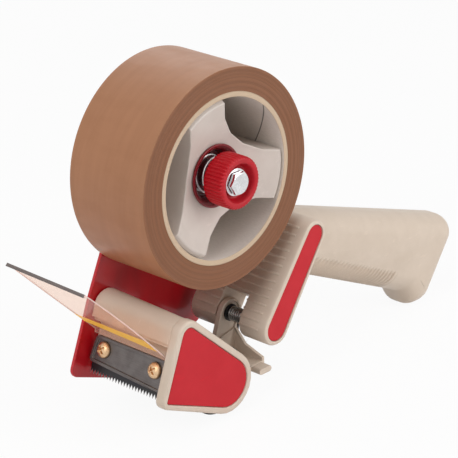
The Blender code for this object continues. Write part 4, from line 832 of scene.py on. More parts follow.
class Bench:
    """Where shells and copies of CAD nodes become pieces that ride on the model's bodies."""

    smooth_angle = math.radians(38)
    flat_angle = math.radians(0.6)

    def piece(
        self,
        name: str,
        shell: Shell,
        finishes: Finish | list[Finish],
        body: str,
        nodes: tuple[str, ...] = (),
        groups: np.ndarray | None = None,
    ) -> bpy.types.Object:
        """Make a piece from a shell.

        Args:
            name: The piece's name.
            shell: Its closed shape.
            finishes: Its finish, or several for its groups of faces.
            body: The body that it rides on.
            nodes: The CAD nodes that it stands for.
            groups: For each face, which finish it takes.

        Returns:
            The piece.
        """
        mesh = bpy.data.meshes.new(name)
        mesh.from_pydata((shell.points * MM).tolist(), [], shell.faces.tolist())
        if groups is not None:
            mesh.polygons.foreach_set("material_index", groups.astype(np.int32))
        self._close(mesh, 2e-7, 0.0)
        return self._fit(name, mesh, finishes if isinstance(finishes, list) else [finishes], body, nodes)

    def recast(
        self,
        node: str,
        finish: Finish,
        edge: float,
        segments: int = 2,
        beyond: tuple[np.ndarray, np.ndarray] | None = None,
        moved: Callable[[np.ndarray], np.ndarray] | None = None,
    ) -> None:
        """Copy a CAD node as a moulded or pressed piece with soft edges.

        Args:
            node: The CAD node.
            finish: The piece's finish.
            edge: Width of its rounded edges, in millimetres.
            segments: Faces across a rounded edge.
            beyond: X and Z of a point of a plane and the plane's normal; what lies beyond it is left out.
            moved: Gives the new places of the copy's points, in millimetres.
        """
        source = frame["nodes"][node]
        points = np.empty(len(source.data.vertices) * 3)
        source.data.vertices.foreach_get("co", points)
        points = points.reshape(-1, 3)
        if moved is not None:
            points = moved(points / MM) * MM
        corners = np.empty(len(source.data.loops), np.int32)
        source.data.loops.foreach_get("vertex_index", corners)
        name = f"{node}_dressed"
        mesh = bpy.data.meshes.new(name)
        mesh.from_pydata(points.tolist(), [], corners.reshape(-1, 3).tolist())
        self._close(mesh, 1e-5, self.flat_angle, beyond)
        made = self._fit(name, mesh, [finish], source["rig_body"], (node,))
        soft = made.modifiers.new("soft_edges", "BEVEL")
        soft.width = edge * MM
        soft.segments = segments
        soft.limit_method = "ANGLE"
        soft.angle_limit = self.smooth_angle
        soft.use_clamp_overlap = False
        soft.harden_normals = True

    @staticmethod
    def _close(
        mesh: bpy.types.Mesh, merge: float, flat: float, beyond: tuple[np.ndarray, np.ndarray] | None = None
    ) -> None:
        """Merge a mesh's doubles, close it, clear flat edges and turn its faces outwards.

        Args:
            mesh: The mesh.
            merge: Points closer than this, in metres, become one.
            flat: Faces closer than this angle become one; 0 leaves them.
            beyond: X and Z of a point of a plane and its normal; what lies beyond it goes.
        """
        work = bmesh.new()
        work.from_mesh(mesh)
        bmesh.ops.remove_doubles(work, verts=work.verts, dist=merge)
        if beyond is not None:
            (x, z), (across, up) = beyond
            geom = [*work.verts, *work.edges, *work.faces]
            plane = {"plane_co": (x * MM, 0.0, z * MM), "plane_no": (across, 0.0, up)}
            bmesh.ops.bisect_plane(work, geom=geom, dist=1e-7, clear_outer=True, **plane)
        open_edges = [edge for edge in work.edges if edge.is_boundary]
        if open_edges:
            bmesh.ops.holes_fill(work, edges=open_edges, sides=0)
        if flat:
            bmesh.ops.dissolve_limit(work, angle_limit=flat, verts=work.verts, edges=work.edges)
        bmesh.ops.recalc_face_normals(work, faces=work.faces)
        work.to_mesh(mesh)
        work.free()

    def _fit(
        self, name: str, mesh: bpy.types.Mesh, finishes: list[Finish], body: str, nodes: tuple[str, ...]
    ) -> bpy.types.Object:
        """Shade a mesh, link its object, dress it and set it on its body.

        Args:
            name: The piece's name.
            mesh: Its mesh.
            finishes: Its finishes.
            body: The body that it rides on.
            nodes: The CAD nodes that it stands for.

        Returns:
            The object.
        """
        mesh.polygons.foreach_set("use_smooth", np.ones(len(mesh.polygons), bool))
        mesh.set_sharp_from_angle(angle=self.smooth_angle)
        made = bpy.data.objects.new(name, mesh)
        bpy.context.scene.collection.objects.link(made)
        for finish in finishes:
            mesh.materials.append(finish.material())
        if body:
            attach(made, body)
        if nodes:
            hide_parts(*nodes)
        log.info("piece %s: %d faces, body %s, finish %s", name, len(mesh.polygons), body, finishes[0].name)
        return made


# Sub-assemblies


@dataclass
class TapeRoll:
    """Roll of brown tape on its wound board core."""

    bench: Bench
    radius: float = ROLL_RADIUS
    half_width: float = ROLL_HALF_WIDTH
    board_outer: float = 40.6
    board_inner: float = CORE_BORE
    segments: int = 180

    def build(self) -> None:
        """Make both pieces."""
        self.tape()
        self.board()

    def tape(self) -> None:
        """Wound film: each side is y = half width less a small depth that differs from turn to turn."""
        r = np.linspace(self.board_outer + 0.06, self.radius - 0.22, 64)
        depth = 0.05 + 0.03 * np.sin(r * 9.7) + 0.02 * np.sin(r * 23.1 + 1.3) + 0.035 * np.sin(r * 2.3)
        near = np.stack((r, depth - self.half_width), axis=1)
        far = np.stack((r[::-1], self.half_width - depth[::-1]), axis=1)
        y = np.linspace(0.25 - self.half_width, self.half_width - 0.25, 25)
        skin = np.stack((self.radius - 0.02 + 0.015 * np.sin(y * 0.9), y), axis=1)
        shell = turned(np.concatenate((near, skin, far)), ROLL_AXIS, self.segments)
        self.bench.piece("wound_tape", shell, TAPE, "roll", ("tape_roll",))

    def board(self) -> None:
        """Core: a tube with slightly crushed edges."""
        inner, outer, w = self.board_inner, self.board_outer, self.half_width
        corners = [(inner, -w, 0.35), (outer, -w, 0.2), (outer, w, 0.2), (inner, w, 0.35)]
        shell = turned(eased(corners), ROLL_AXIS, self.segments)
        self.bench.piece("core_board", shell, BOARD, "roll", ("tape_core",))


@dataclass
class Hub:
    """Three-lobed hub with its bearing, thrust washer and post."""

    bench: Bench

    def build(self) -> None:
        """Dress the pieces."""
        self.bench.recast("hub", HUB_CREAM, 0.7, 3)
        self.bench.recast("hub_bearing", NYLON, 0.15)
        self.bench.recast("thrust_washer", NYLON, 0.15)
        self.bench.recast("hub_post", STEEL, 0.15)


@dataclass
class TensionStack:
    """Cup, spring, fluted knob, washer and long bolt, one behind the other on the hub's axis."""

    bench: Bench
    cup_rest: float = -16.8
    cup_floor: float = -8.3
    cup_radius: float = 12.8
    cup_flange: float = 15.0
    cup_wall: float = 1.5
    cup_bore: float = 6.3
    knob_face: float = -33.0
    knob_back: float = -21.0
    knob_radius: float = 12.5
    recess_radius: float = 9.2
    recess_floor: float = -28.8
    bore: float = 3.3
    flutes: int = 44
    flute_depth: float = 0.62
    wire: float = 0.58
    coil_radius: float = 8.8
    coil_turns: float = 2.65
    coil_start: float = math.radians(99)
    washer_radius: float = 6.6
    washer_height: float = 1.2
    bolt_radius: float = 3.0
    bolt_end: float = 34.2
    flats: float = 10.0
    head_height: float = 2.6

    def build(self) -> None:
        """Make the pieces."""
        self.cup()
        self.coil()
        self.knob()
        self.washer()
        self.bolt()
        self.bench.recast("plate_nut", STEEL, 0.25)

    def cup(self) -> None:
        """Cup: a turned profile with a flared, rounded mouth."""
        inner, flange = self.cup_radius - self.cup_wall, self.cup_flange
        rest, floor = self.cup_rest - GAP, self.cup_floor
        lip = rest - 1.1
        corners = [
            (inner, lip + 3.6, 0.8),
            (inner + 1.3, lip + 1.2, 0.4),
            (flange - 1.1, lip, 0.4),
            (flange, lip, 0.4),
            (flange, rest, 0.3),
            (self.cup_radius, rest, 0.1),
            (self.cup_radius, floor, 0.4),
            (self.cup_bore, floor, 0.2),
            (self.cup_bore, floor - self.cup_wall, 0.2),
            (inner, floor - self.cup_wall, 0.6),
        ]
        shell = turned(eased(corners), ROLL_AXIS, 96)
        self.bench.piece("spring_cup_turned", shell, CUP_RED, "frame", ("spring_cup",))

    def coil(self) -> None:
        """Spring with closed ends.

        The pitch at turn t is a share k + (1 - k) e(t) of the full one, where e climbs as 3q^2 - 2q^3 over
        the first 0.6 of a turn and falls the same way over the last, and y is its running sum.
        """
        first = self.knob_back + GAP + self.wire
        last = self.cup_floor - self.cup_wall - GAP - self.wire
        turns = self.coil_turns
        t = np.linspace(0, turns, int(turns * 48))
        q = np.clip(np.minimum(t, turns - t) / 0.6, 0, 1)
        pitch = 0.12 + 0.88 * (3 * q**2 - 2 * q**3)
        rise = np.cumsum(pitch) - pitch[0]
        rise /= rise[-1]
        a = self.coil_start - 2 * math.pi * t
        path = about(ROLL_AXIS, self.coil_radius, first + (last - first) * rise, a)
        shell = wire(path, self.wire, 14)
        made = self.bench.piece("tension_coil", shell, SPRING_STEEL, "", ("tension_spring",))
        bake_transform(made)

    def knob(self) -> None:
        """Fluted knob: a ring's radius loses f d ((1 + cos n a) / 2)^1.4, with f its share of the depth d."""
        face, back, full = self.knob_face, self.knob_back, self.knob_radius
        recess, floor = self.recess_radius, self.recess_floor
        rings = [
            (self.bore, floor, 0),
            (recess - 1.6, floor, 0),
            (recess - 1.2, floor - 0.3, 0),
            (recess - 0.5, floor - 2.2, 0),
            (recess - 0.1, face + 0.7, 0),
            (recess + 0.2, face + 0.2, 0),
            (recess + 0.6, face, 0),
            (full - 1.5, face, 0),
            (full - 0.9, face + 0.1, 0.25),
            (full - 0.4, face + 0.45, 0.7),
            (full - 0.1, face + 0.95, 1),
            (full, face + 1.5, 1),
            (full, (face + back) / 2, 1),
            (full, back - 1.0, 1),
            (full - 0.15, back - 0.5, 1),
            (full - 0.5, back - 0.12, 0.6),
            (full - 0.9, back, 0),
            (self.bore, back, 0),
        ]
        r, y, share = (np.array(column)[:, None] for column in zip(*rings))
        a = around(self.flutes * 8)
        radius = r - self.flute_depth * share * ((1 + np.cos(self.flutes * a)) / 2) ** 1.4
        shell = woven(about(ROLL_AXIS, radius, y, a), round_rows=True)
        self.bench.piece("fluted_knob", shell, KNOB_RED, "tension_bolt_and_knob", ("tension_knob",))

    def washer(self) -> None:
        """Washer with stamped edges, one rolled over more than the other."""
        bore, edge, far = self.bore, self.washer_radius, self.recess_floor - GAP
        near = far - self.washer_height
        corners = [(bore, near, 0.2), (edge, near, 0.35), (edge, far, 0.12), (bore, far, 0.12)]
        shell = turned(eased(corners), ROLL_AXIS, 72)
        self.bench.piece("stamped_washer", shell, BRIGHT_ZINC, "tension_washer", ("bolt_washer",))

    def bolt(self) -> None:
        """Bolt with a hexagonal head.

        The head's radius at angle a is f / cos((a mod 60) - 30), rounded a little at its corners, with
        f half the width over flats. Its face falls away past f as (r - f) tan 30.
        """
        a = around(144)
        half, shank = self.flats / 2, self.bolt_radius
        fold = np.mod(a, math.pi / 3) - math.pi / 6
        edge = np.minimum(half / np.cos(fold), half / math.cos(math.pi / 6) - 0.12)
        far = self.recess_floor - GAP - self.washer_height - GAP
        near, end = far - self.head_height, self.bolt_end
        top = np.array([0.0, 0.25, 0.5, 0.7, 0.84, 0.92, 0.97, 0.995, 1.0])[:, None] * edge
        dish = 0.12 * (1 - np.minimum(top / half, 1) ** 2)
        face = near + dish + np.maximum(top - half * 0.93, 0) * math.tan(math.radians(30))
        side = np.concatenate((np.maximum(near + 1.0, face[-1:] + 0.1), np.full(a.shape, far - 0.25)))
        below = np.array([(shank + 0.3, far), (shank, far + 0.3), (shank, end - 0.5), (shank - 0.5, end), (0.0, end)])
        below = np.broadcast_to(below[:, :, None], (5, 2, a.shape[1]))
        radius = np.concatenate((top, edge, edge, edge - 0.15, below[:, 0]))
        y = np.concatenate((face, side, np.full(a.shape, far), below[:, 1]))
        shell = woven(about(ROLL_AXIS, radius, y, a))
        self.bench.piece("long_bolt", shell, BRIGHT_ZINC, "tension_bolt_and_knob", ("tension_bolt",))


class Front:
    """Sloping front plane of the head: u runs up it, n stands out of it, and Y runs across."""

    toe = (-90.7, 22.0)  # middle of the cheek's toe curve
    toe_radius = 4.0
    top_radius = 7.5
    rise = 10.6  # from the toe up to where u is 0

    def __init__(self) -> None:
        """Lay the plane against the cheek's top and toe curves, at acos((r_toe - r_top) / distance) to their line."""
        line = np.array(CHEEK_TOP) - self.toe
        turn = math.acos((self.toe_radius - self.top_radius) / np.linalg.norm(line))
        angle = math.atan2(line[1], line[0]) + turn
        self.out = np.array((math.cos(angle), math.sin(angle)))
        self.up = np.array((math.sin(angle), -math.cos(angle)))
        self.origin = self.toe + self.out * self.toe_radius + self.up * self.rise

    def place(self, u: np.ndarray | float, y: np.ndarray | float, n: np.ndarray | float) -> np.ndarray:
        """Give points of the plane in the row frame.

        Args:
            u: Way up the plane.
            y: Place across it.
            n: Way out of it.

        Returns:
            The points, three values each.
        """
        u, y, n = np.broadcast_arrays(u, y, n)
        x = self.origin[0] + self.up[0] * u + self.out[0] * n
        z = self.origin[1] + self.up[1] * u + self.out[1] * n
        return np.stack((x, y, z), axis=-1)


@dataclass
class Head:
    """Moulded head: the cheek with its red panel and the curved cover."""

    bench: Bench
    front: Front
    wall: float = 2.4
    cover_near: float = -22.9
    cover_far: float = 25.6
    near_radius: float = 7.0
    far_radius: float = 8.4
    near_round: float = 0.4
    far_round: float = 1.0
    growth: tuple[float, float] = (-23.3, 26.8)  # Y at which the radius starts and stops growing
    even: tuple[float, float] = (-22.0, 25.4)  # Y between its rounded ends
    front_length: float = 5.5
    tail_length: float = 7.0

    def build(self) -> None:
        """Dress the pieces."""
        self.bench.recast("head_housing", CREAM, 0.6, 3)
        self.bench.recast("head_inlay", RED_SATIN, 0.22)
        self.hood()

    def hood(self) -> None:
        """Fuller outside of the cover: a bent wall whose radius about the cheek's top grows towards the plate.

        At y the outside runs up the front face, round an arc of radius r(y) and down to the tail; the
        inside runs back a wall's thickness nearer. Both ends are rounded.
        """
        end = np.linspace(0, math.pi / 2, 5)
        near, far = self.cover_near - self.near_round * np.cos(end), self.cover_far + self.far_round * np.sin(end)
        y = np.r_[near, np.linspace(*self.even, 14), far]
        shrink = np.r_[self.near_round * (1 - np.sin(end)), np.zeros(14), self.far_round * (1 - np.cos(end))]
        outside = np.interp(y, self.growth, (self.near_radius, self.far_radius)) - shrink
        inside = np.full(len(y), self.far_radius - self.far_round - self.wall)
        angle = np.linspace(math.atan2(self.front.out[1], self.front.out[0]), 0, 20)
        foot = np.insert(-self.front_length * self.front.up, 1, 0.0)
        tail = np.array((0.0, 0.0, -self.tail_length))
        layers = []
        for radius in (outside, inside):
            arc = about(CHEEK_TOP, radius[:, None], y[:, None], angle)
            layers.append(np.concatenate((arc[:, :1] + foot, arc, arc[:, -1:] + tail), axis=1))
        points = np.concatenate((layers[0], layers[1][:, ::-1]), axis=1)
        self.bench.piece("cover_hood", woven(points), CREAM, "frame")


@dataclass
class BladeSet:
    """Saw-toothed blade, the dished bar that clamps it and the bar's two screws."""

    bench: Bench
    front: Front
    half_height: float = 6.5
    near: float = -22.5
    far: float = 26.0
    drop: float = 6.2
    inset: float = 0.5  # of the blade at each end of the bar
    hidden: float = 3.0  # from the bar's top to the blade's
    tooth_depth: float = 3.0
    grind: float = 0.9  # from the teeth's roots to the full thickness
    teeth: int = 25
    thickness: float = 0.8
    blade_n: float = -5.8
    screw_places: tuple[tuple[str, float], ...] = (("far", 18.0), ("near", -16.0))
    screw_rise: float = 0.6
    screw_seat: float = -3.6
    screw_turn: float = math.radians(38)
    head_radius: float = 4.0
    head_height: float = 2.2
    recess_depth: float = 1.2
    recess_arm: tuple[float, float] = (2.3, 0.8)  # length of an arm, and of the slope at its end
    recess_half: tuple[float, float] = (0.55, 0.22)  # half its width, and the slope at its sides
    shank_radius: float = 1.9

    def build(self) -> None:
        """Make the pieces."""
        self.blade()
        self.bench.recast("blade_clamp", CLAMP_STEEL, 0.3, 3)
        for side, y in self.screw_places:
            self.screw(side, y)

    def blade(self) -> None:
        """Blade: its lower edge is a row of triangles, and it thins from the teeth's roots to their tips."""
        low = -self.half_height - self.drop
        root = low + self.tooth_depth
        left, right = self.near + self.inset, self.far - self.inset
        y = np.linspace(left, right, self.teeth * 4 + 1)
        saw = np.abs(np.mod((y - left) / (right - left) * self.teeth + 0.5, 1) * 2 - 1)
        tip = -self.tooth_depth * (1 - saw)
        straight = np.array([self.half_height - self.hidden, root + self.grind])[:, None] + 0 * y
        rise = np.concatenate((straight, root + tip * np.array([0.0, 0.45, 0.8, 1.0])[:, None]))
        half = np.clip((rise - low) / (self.tooth_depth + self.grind), 0.1, 1) * self.thickness / 2
        shell = slab(*(self.front.place(rise, y, self.blade_n + side * half) for side in (1, -1)))
        tip_line = self.front.place(low, 0.0, self.blade_n)[::2]
        dark, ground = (0.045, 0.043, 0.045), (0.3, 0.28, 0.27)
        steel = BladeSteel("toothed_strip", "blade_steel", dark, ground, tuple(tip_line), tuple(self.front.up))
        self.bench.piece("toothed_blade", shell, steel, "frame", ("blade",))

    def screw(self, side: str, y: float) -> None:
        """Pan-head screw with a crossed recess.

        The head's height over its seat is h (1 - (r / R)^2.6)^0.55 and a low cone. The recess takes away the
        depth times ramps of w - min(|p|, |q|) and l - max(|p|, |q|), where p and q run along its arms and
        w and l are half the width and the length of an arm.

        Args:
            side: Which of the two it is.
            y: Its place across the bar.
        """
        share = np.concatenate((np.linspace(0, 0.62, 26), np.linspace(0.66, 1, 14)))[:, None]
        a = around(96)
        r = share * self.head_radius
        dome = self.head_height * np.maximum(1 - share**2.6, 0) ** 0.55 + 0.35 * (1 - share)
        p, q = np.abs(r * np.cos(a + self.screw_turn)), np.abs(r * np.sin(a + self.screw_turn))
        (width, side_slope), (length, end_slope) = self.recess_half, self.recess_arm
        arm = np.clip((width - np.minimum(p, q)) / side_slope, 0, 1)
        arm *= np.clip((length - np.maximum(p, q)) / end_slope, 0, 1)
        shank = np.array([(self.shank_radius, 0.0), (self.shank_radius, -6.5), (0.0, -8.0)])
        shank = np.broadcast_to(shank[:, :, None], (3, 2, a.shape[1]))
        radius = np.concatenate((np.broadcast_to(r, arm.shape), shank[:, 0]))
        height = np.concatenate((dome - self.recess_depth * arm, shank[:, 1]))
        up, across = self.screw_rise + radius * np.sin(a), y + radius * np.cos(a)
        shell = woven(self.front.place(up, across, self.screw_seat + height))
        self.bench.piece(f"clamp_screw_{side}", shell, YELLOW_ZINC, "frame", (f"blade_screw_{side}",))


@dataclass(frozen=True)
class SheetSide:
    """How one side edge of the flap runs: up the front by the root, then out on a slight curve."""

    root: float
    start: float
    end: float
    length: float


@dataclass
class Flap:
    """Clear springy sheet over the blade, a little twisted, with a lip at its end and a plain yellow strip."""

    bench: Bench
    front: Front
    thickness: float = 0.6
    near: float = -22.8
    far: float = 26.8
    foot: tuple[float, float] = (6.8, -4.1)  # up the front plane and out of it
    near_side: SheetSide = SheetSide(0.3, 132.5, 138.0, 68.7)
    far_side: SheetSide = SheetSide(1.8, 136.4, 135.7, 70.5)
    lip: float = 1.0
    strip_start: float = 9.4
    strip_ends: tuple[float, float] = (20.5, 17.6)
    strip_inset: float = 0.4

    def build(self) -> None:
        """Make the sheet and the strip."""
        self.sheet()
        self.strip()

    def _across(self, field: str, y: np.ndarray) -> np.ndarray:
        """Give a size of the side edges at places across the sheet.

        Args:
            field: The size's name.
            y: The places.

        Returns:
            The size, which goes evenly from the near side's to the far side's.
        """
        return np.interp(y, (self.near, self.far), (getattr(self.near_side, field), getattr(self.far_side, field)))

    def _points(self, way: np.ndarray, y: np.ndarray, lift: np.ndarray | float) -> np.ndarray:
        """Give points of the sheet.

        Past the root r the line turns evenly from angle a to b over its length: after s its chord is
        s sin(h) / h long at the angle a + h, with h = (b - a) s / 2 length. The mean of three such points
        0.5 mm apart rounds the bend.

        Args:
            way: Way up the line from the foot, in rows, for each column.
            y: Place across the sheet of each column.
            lift: How far above the middle of the sheet the points lie.

        Returns:
            Rows by columns by three.
        """
        root, length = self._across("root", y), self._across("length", y)
        start, end = np.radians(self._across("start", y)), np.radians(self._across("end", y))
        base = self.front.place(self.foot[0], 0.0, self.foot[1])
        rise = math.atan2(self.front.up[1], self.front.up[0])
        x, z = np.zeros(way.shape), np.zeros(way.shape)
        for shift in (-0.5, 0.0, 0.5):
            straight = np.minimum(way + shift, root)
            s = np.maximum(way + shift - root, 0)
            half = (end - start) * s / length / 2
            chord = s * np.sinc(half / math.pi)
            x += (straight * math.cos(rise) + chord * np.cos(start + half)) / 3
            z += (straight * math.sin(rise) + chord * np.sin(start + half)) / 3
        turn = np.clip((way - root + 0.8) / 1.6, 0, 1)
        angle = rise + (start - rise) * turn + (end - start) * np.clip((way - root) / length, 0, 1)
        x = base[0] + x + np.sin(angle) * lift
        z = base[2] + z - np.cos(angle) * lift
        return np.stack((x, np.broadcast_to(y, x.shape), z), axis=-1)

    def sheet(self) -> None:
        """Sheet whose cut sides are painted pale as a highlight, with a darker lip turned down at its end."""
        y = np.linspace(self.near, self.far, 17)
        root, length = self._across("root", y), self._across("length", y)
        share = np.concatenate((np.linspace(0, 0.03, 8), np.linspace(0.03, 0.98, 32)[1:]))[:, None]
        back = np.array([1.1, 0.8, 0.5, 0.15, 0.0])[:, None]
        way = np.concatenate((root * np.linspace(0, 1, 5)[:-1, None], root + length * share, root + length - back))
        drop = np.zeros(way.shape)
        drop[-5:] = self.lip * np.array([0.0, 0.45, 0.95, 1.0, 0.9])[:, None]
        half = self.thickness / 2
        shell = slab(self._points(way, y, half), self._points(way, y, -half - drop))
        row = np.repeat(np.arange(2 * len(way)), len(y) - 1)
        row = np.minimum(row, 2 * len(way) - 2 - row)
        groups = np.full(len(shell.faces), 2)
        groups[: len(row)] = np.where(row < 0, 2, row >= len(way) - 5)
        finishes = [SHEET, SHEET_EDGE, SHEET_SIDE]
        self.bench.piece("clear_flap", shell, finishes, "flap_sheet", ("flap",), groups)

    def strip(self) -> None:
        """Plain strip of yellow film under the sheet, across its foot."""
        y = np.linspace(self.near + self.strip_inset, self.far - self.strip_inset, 17)
        end = np.interp(y, (self.near, self.far), self.strip_ends)
        share = np.linspace(0, 1, 9)[:, None]
        way = self._across("root", y) + self.strip_start + (end - self.strip_start) * share
        half = self.thickness / 2
        shell = slab(self._points(way, y, -half - 0.01), self._points(way, y, -half - 0.1))
        self.bench.piece("yellow_strip", shell, YELLOW_FILM, "flap_sheet")


@dataclass
class Roller:
    """Rubber sleeve on its core, bushes, axle and clip."""

    bench: Bench
    radius: float = 17.0
    bore: float = 13.0
    near: float = -22.0
    far: float = 26.0

    def build(self) -> None:
        """Make the sleeve and dress the rest."""
        self.sleeve()
        self.bench.recast("roller_core", CREAM, 0.3)
        self.bench.recast("roller_bush_near", NYLON, 0.15)
        self.bench.recast("roller_bush_far", NYLON, 0.15)
        self.bench.recast("roller_axle", STEEL, 0.25)
        self.bench.recast("axle_clip", STEEL, 0.12)

    def sleeve(self) -> None:
        """Sleeve ground with fine rings 1.5 mm apart: the radius is R - 0.03 (1 + cos 2 pi y / 1.5)."""
        y = np.linspace(self.near + 0.9, self.far - 0.9, 97)
        r = self.radius - 0.03 * (1 + np.cos(2 * math.pi * y / 1.5))
        ends = [(self.radius - 0.35, 0.3), (self.radius - 0.9, 0.0), (self.bore, 0.0)]
        near = np.array([(a, self.near + b) for a, b in reversed(ends)])
        far = np.array([(a, self.far - b) for a, b in ends])
        shell = turned(np.concatenate((near, np.stack((r, y), axis=1), far)), ROLLER_AXIS, 96)
        self.bench.piece("rubber_sleeve", shell, RUBBER, "roller", ("roller_sleeve",))


@dataclass
class Handle:
    """Ribbed block with its red panel, and the pistol grip behind it."""

    bench: Bench
    block_foot: tuple[float, float, float] = (-19.7, 34.4, 8.5)  # X, Z and radius
    block_top: tuple[float, float, float] = (7.5, 73.5, 7.5)
    rib_top: float = 47.6
    rib_pitch: float = 4.0
    rib_count: int = 14
    rib_radius: float = 0.62
    rib_ends: tuple[float, float] = (-24.2, 18.1)
    slot: tuple[float, float, float] = (-12.0, 3.3, 10.6)  # near, far, and top above the lever's axis
    half_width: float = 13.0
    rounding: float = 11.0
    corners: tuple[tuple[float, float, float], ...] = (  # X, Z and radius
        (9.83, 80.63, 0.0),
        (-1.8, 53.3, 0.0),
        (93.3, 10.4, 3.7),
        (99.5, 0.0, 6.9),
        (111.8, 0.0, 10.6),
        (138.3, 38.6, 9.6),
    )
    finger_steps: int = 300
    finger_pitch: float = 2.9
    finger_depth: float = 1.7
    finger_ends: tuple[float, float] = (14.0, 90.0)
    finger_slant: tuple[float, float] = (0.68, 0.2)  # near the block and near the hook
    finger_turn: tuple[float, float] = (50.0, 90.0)  # way along the underside between the two
    finger_middle: float = 9.0  # way round at which the slant leaves a groove in its place
    finger_reach: float = 19.2  # way round at which the grooves end

    def build(self) -> None:
        """Make the pieces."""
        foot, top = np.array(self.block_foot), np.array(self.block_top)
        line = (top - foot)[:2]
        lean = math.atan2(line[1], line[0])
        open_angle = math.acos((foot[2] - top[2]) / np.linalg.norm(line))
        rear = np.array((math.cos(lean - open_angle), math.sin(lean - open_angle)))
        front = np.array((math.cos(lean + open_angle), math.sin(lean + open_angle)))
        self.bench.recast("handle", CREAM, 0.25, 2, beyond=(foot[:2] + rear * (foot[2] + 0.02), rear))
        self.bench.recast("handle_inlay", RED_SATIN, 0.22)
        self.grip()
        self.ribs(foot, top, front)

    def ribs(self, foot: np.ndarray, top: np.ndarray, out: np.ndarray) -> None:
        """Round bars sunk in the block's front, which stop at the lever's slot and follow the round foot.

        Args:
            foot: The block's lower circle.
            top: Its upper circle.
            out: Way out of its front.
        """
        start, end = foot[:2] + out * foot[2], top[:2] + out * top[2]
        up = (end - start) / np.linalg.norm(end - start)
        (near, far), (slot_near, slot_far, slot_top) = self.rib_ends, self.slot
        a = np.linspace(0, math.pi / 2, 5)
        r, y = self.rib_radius * np.sin(a), self.rib_radius * (1 - np.cos(a))
        bars = Shell(np.zeros((0, 3)), np.zeros((0, 4), int))
        for way in self.rib_top - self.rib_pitch * np.arange(self.rib_count):
            turn = math.atan2(out[1], out[0]) - min(way, 0.0) / foot[2]
            normal = np.array((math.cos(turn), math.sin(turn)))
            middle = foot[:2] + normal * (foot[2] - 0.05) + up * max(way, 0.0)
            whole = (middle - np.array(LEVER_AXIS)) @ up > slot_top
            for begin, stop in [(near, far)] if whole else [(near, slot_near), (slot_far, far)]:
                profile = np.stack((np.r_[r, r[::-1]], np.r_[begin + y, stop - y[::-1]]), axis=1)
                bars += turned(profile, tuple(middle), 14, closed=False)
        self.bench.piece("block_ribs", bars, CREAM, "frame")

    def _outline(self, drawn_in: np.ndarray, steps: int = 14) -> np.ndarray:
        """Outline of the grip, drawn in by each distance on every side but the first.

        Corner i moves to where the lines of its sides cut, p + (a s - b t) / (b x a), where b and a are the
        ways along the side before and after it, and t and s what those sides move in. Its radius grows
        by 0.35 of the distance at the crook and shrinks by all of it at the others.

        Args:
            drawn_in: The distances.
            steps: Points on each rounded corner, less one.

        Returns:
            Distances by points by two; the second point is the first of those along the underside.
        """
        places = np.array(self.corners)
        at, radius = places[:, :2], places[:, 2]
        before = at - np.roll(at, 1, axis=0)
        before /= np.linalg.norm(before, axis=1, keepdims=True)
        after = np.roll(before, -1, axis=0)
        turn = before[:, 0] * after[:, 1] - before[:, 1] * after[:, 0]
        step_before, step_after = np.ones((2, 1, len(at), 1)) * drawn_in[:, None, None]
        step_before[:, 1] = step_after[:, 0] = 0
        corner = at + (after * step_before - before * step_after) / turn[:, None]
        size = np.maximum(radius - np.where(turn > 0, 1.0, -0.35) * drawn_in[:, None], 0.4)
        half = np.arccos(np.clip(-(before * after).sum(axis=1), -1, 1)) / 2
        parts = [corner[:, :1]]
        share = np.linspace(0, 1, self.finger_steps + 1)[None, :, None]
        first = corner[:, 2] - before[2] * (size[:, 2] / math.tan(half[2]))[:, None]
        parts.append(corner[:, 1:2] + (first - corner[:, 1])[:, None] * share)
        for i in range(2, len(at)):
            way = after[i] - before[i]
            centre = corner[:, i] + way / np.linalg.norm(way) * (size[:, i] / math.sin(half[i]))[:, None]
            spoke = -np.sign(turn[i]) * np.array((-before[i, 1], before[i, 0]))
            begin = math.atan2(spoke[1], spoke[0])
            sweep = np.sign(turn[i]) * (math.pi - 2 * half[i])
            angle = begin + sweep * np.linspace(0, 1, steps + 1)
            ring = np.stack((np.cos(angle), np.sin(angle)), axis=1)
            parts.append(centre[:, None] + size[:, i, None, None] * ring)
        return np.concatenate(parts, axis=1)

    def grip(self) -> None:
        """Grip with soft edges and shallow grooves for the fingers round its underside.

        Round an edge of radius R the outline is drawn in by R (1 - cos a) at y = w + R sin a. At the way s
        along the underside and w round it the grooves sink it by h ((1 + cos 2 pi q / p) / 2)^1.5, where
        q = s - k (w - m) and the slant k falls as 3e^2 - 2e^3 on the way to the hook.
        """
        flat = self.half_width - self.rounding
        a = np.linspace(0, math.pi / 2, 19)
        a = np.r_[-a[::-1], a]
        y = np.repeat((-flat, flat), 19) + self.rounding * np.sin(a)
        outline = self._outline(self.rounding * (1 - np.cos(a)))
        points = np.insert(outline, 1, y[:, None], axis=2)
        foot, crook = np.array(self.corners)[1:3, :2]
        under = (crook - foot) / np.linalg.norm(crook - foot)
        fingers = slice(1, self.finger_steps + 2)
        s = (outline[:, fingers] - foot) @ under
        w = (flat + self.rounding * np.abs(a))[:, None]
        (begin, stop), (slant, last_slant), (first, last) = self.finger_turn, self.finger_slant, self.finger_ends
        ease = np.clip((s - begin) / (stop - begin), 0, 1)
        q = s - (slant - (slant - last_slant) * ease**2 * (3 - 2 * ease)) * (w - self.finger_middle)
        ends = np.clip((q - first) / 2, 0, 1) * np.clip((last - q) / 2, 0, 1)
        ends = ends * np.clip((self.finger_reach - w) / 2.5, 0, 1)
        depth = self.finger_depth * ends * ((1 + np.cos(2 * math.pi * q / self.finger_pitch)) / 2) ** 1.5
        normal = np.stack((under[1] * np.cos(a), np.sin(a), -under[0] * np.cos(a)), axis=1)
        points[:, fingers] -= depth[..., None] * normal[:, None]
        self.bench.piece("pistol_grip", woven(points), CREAM, "frame")


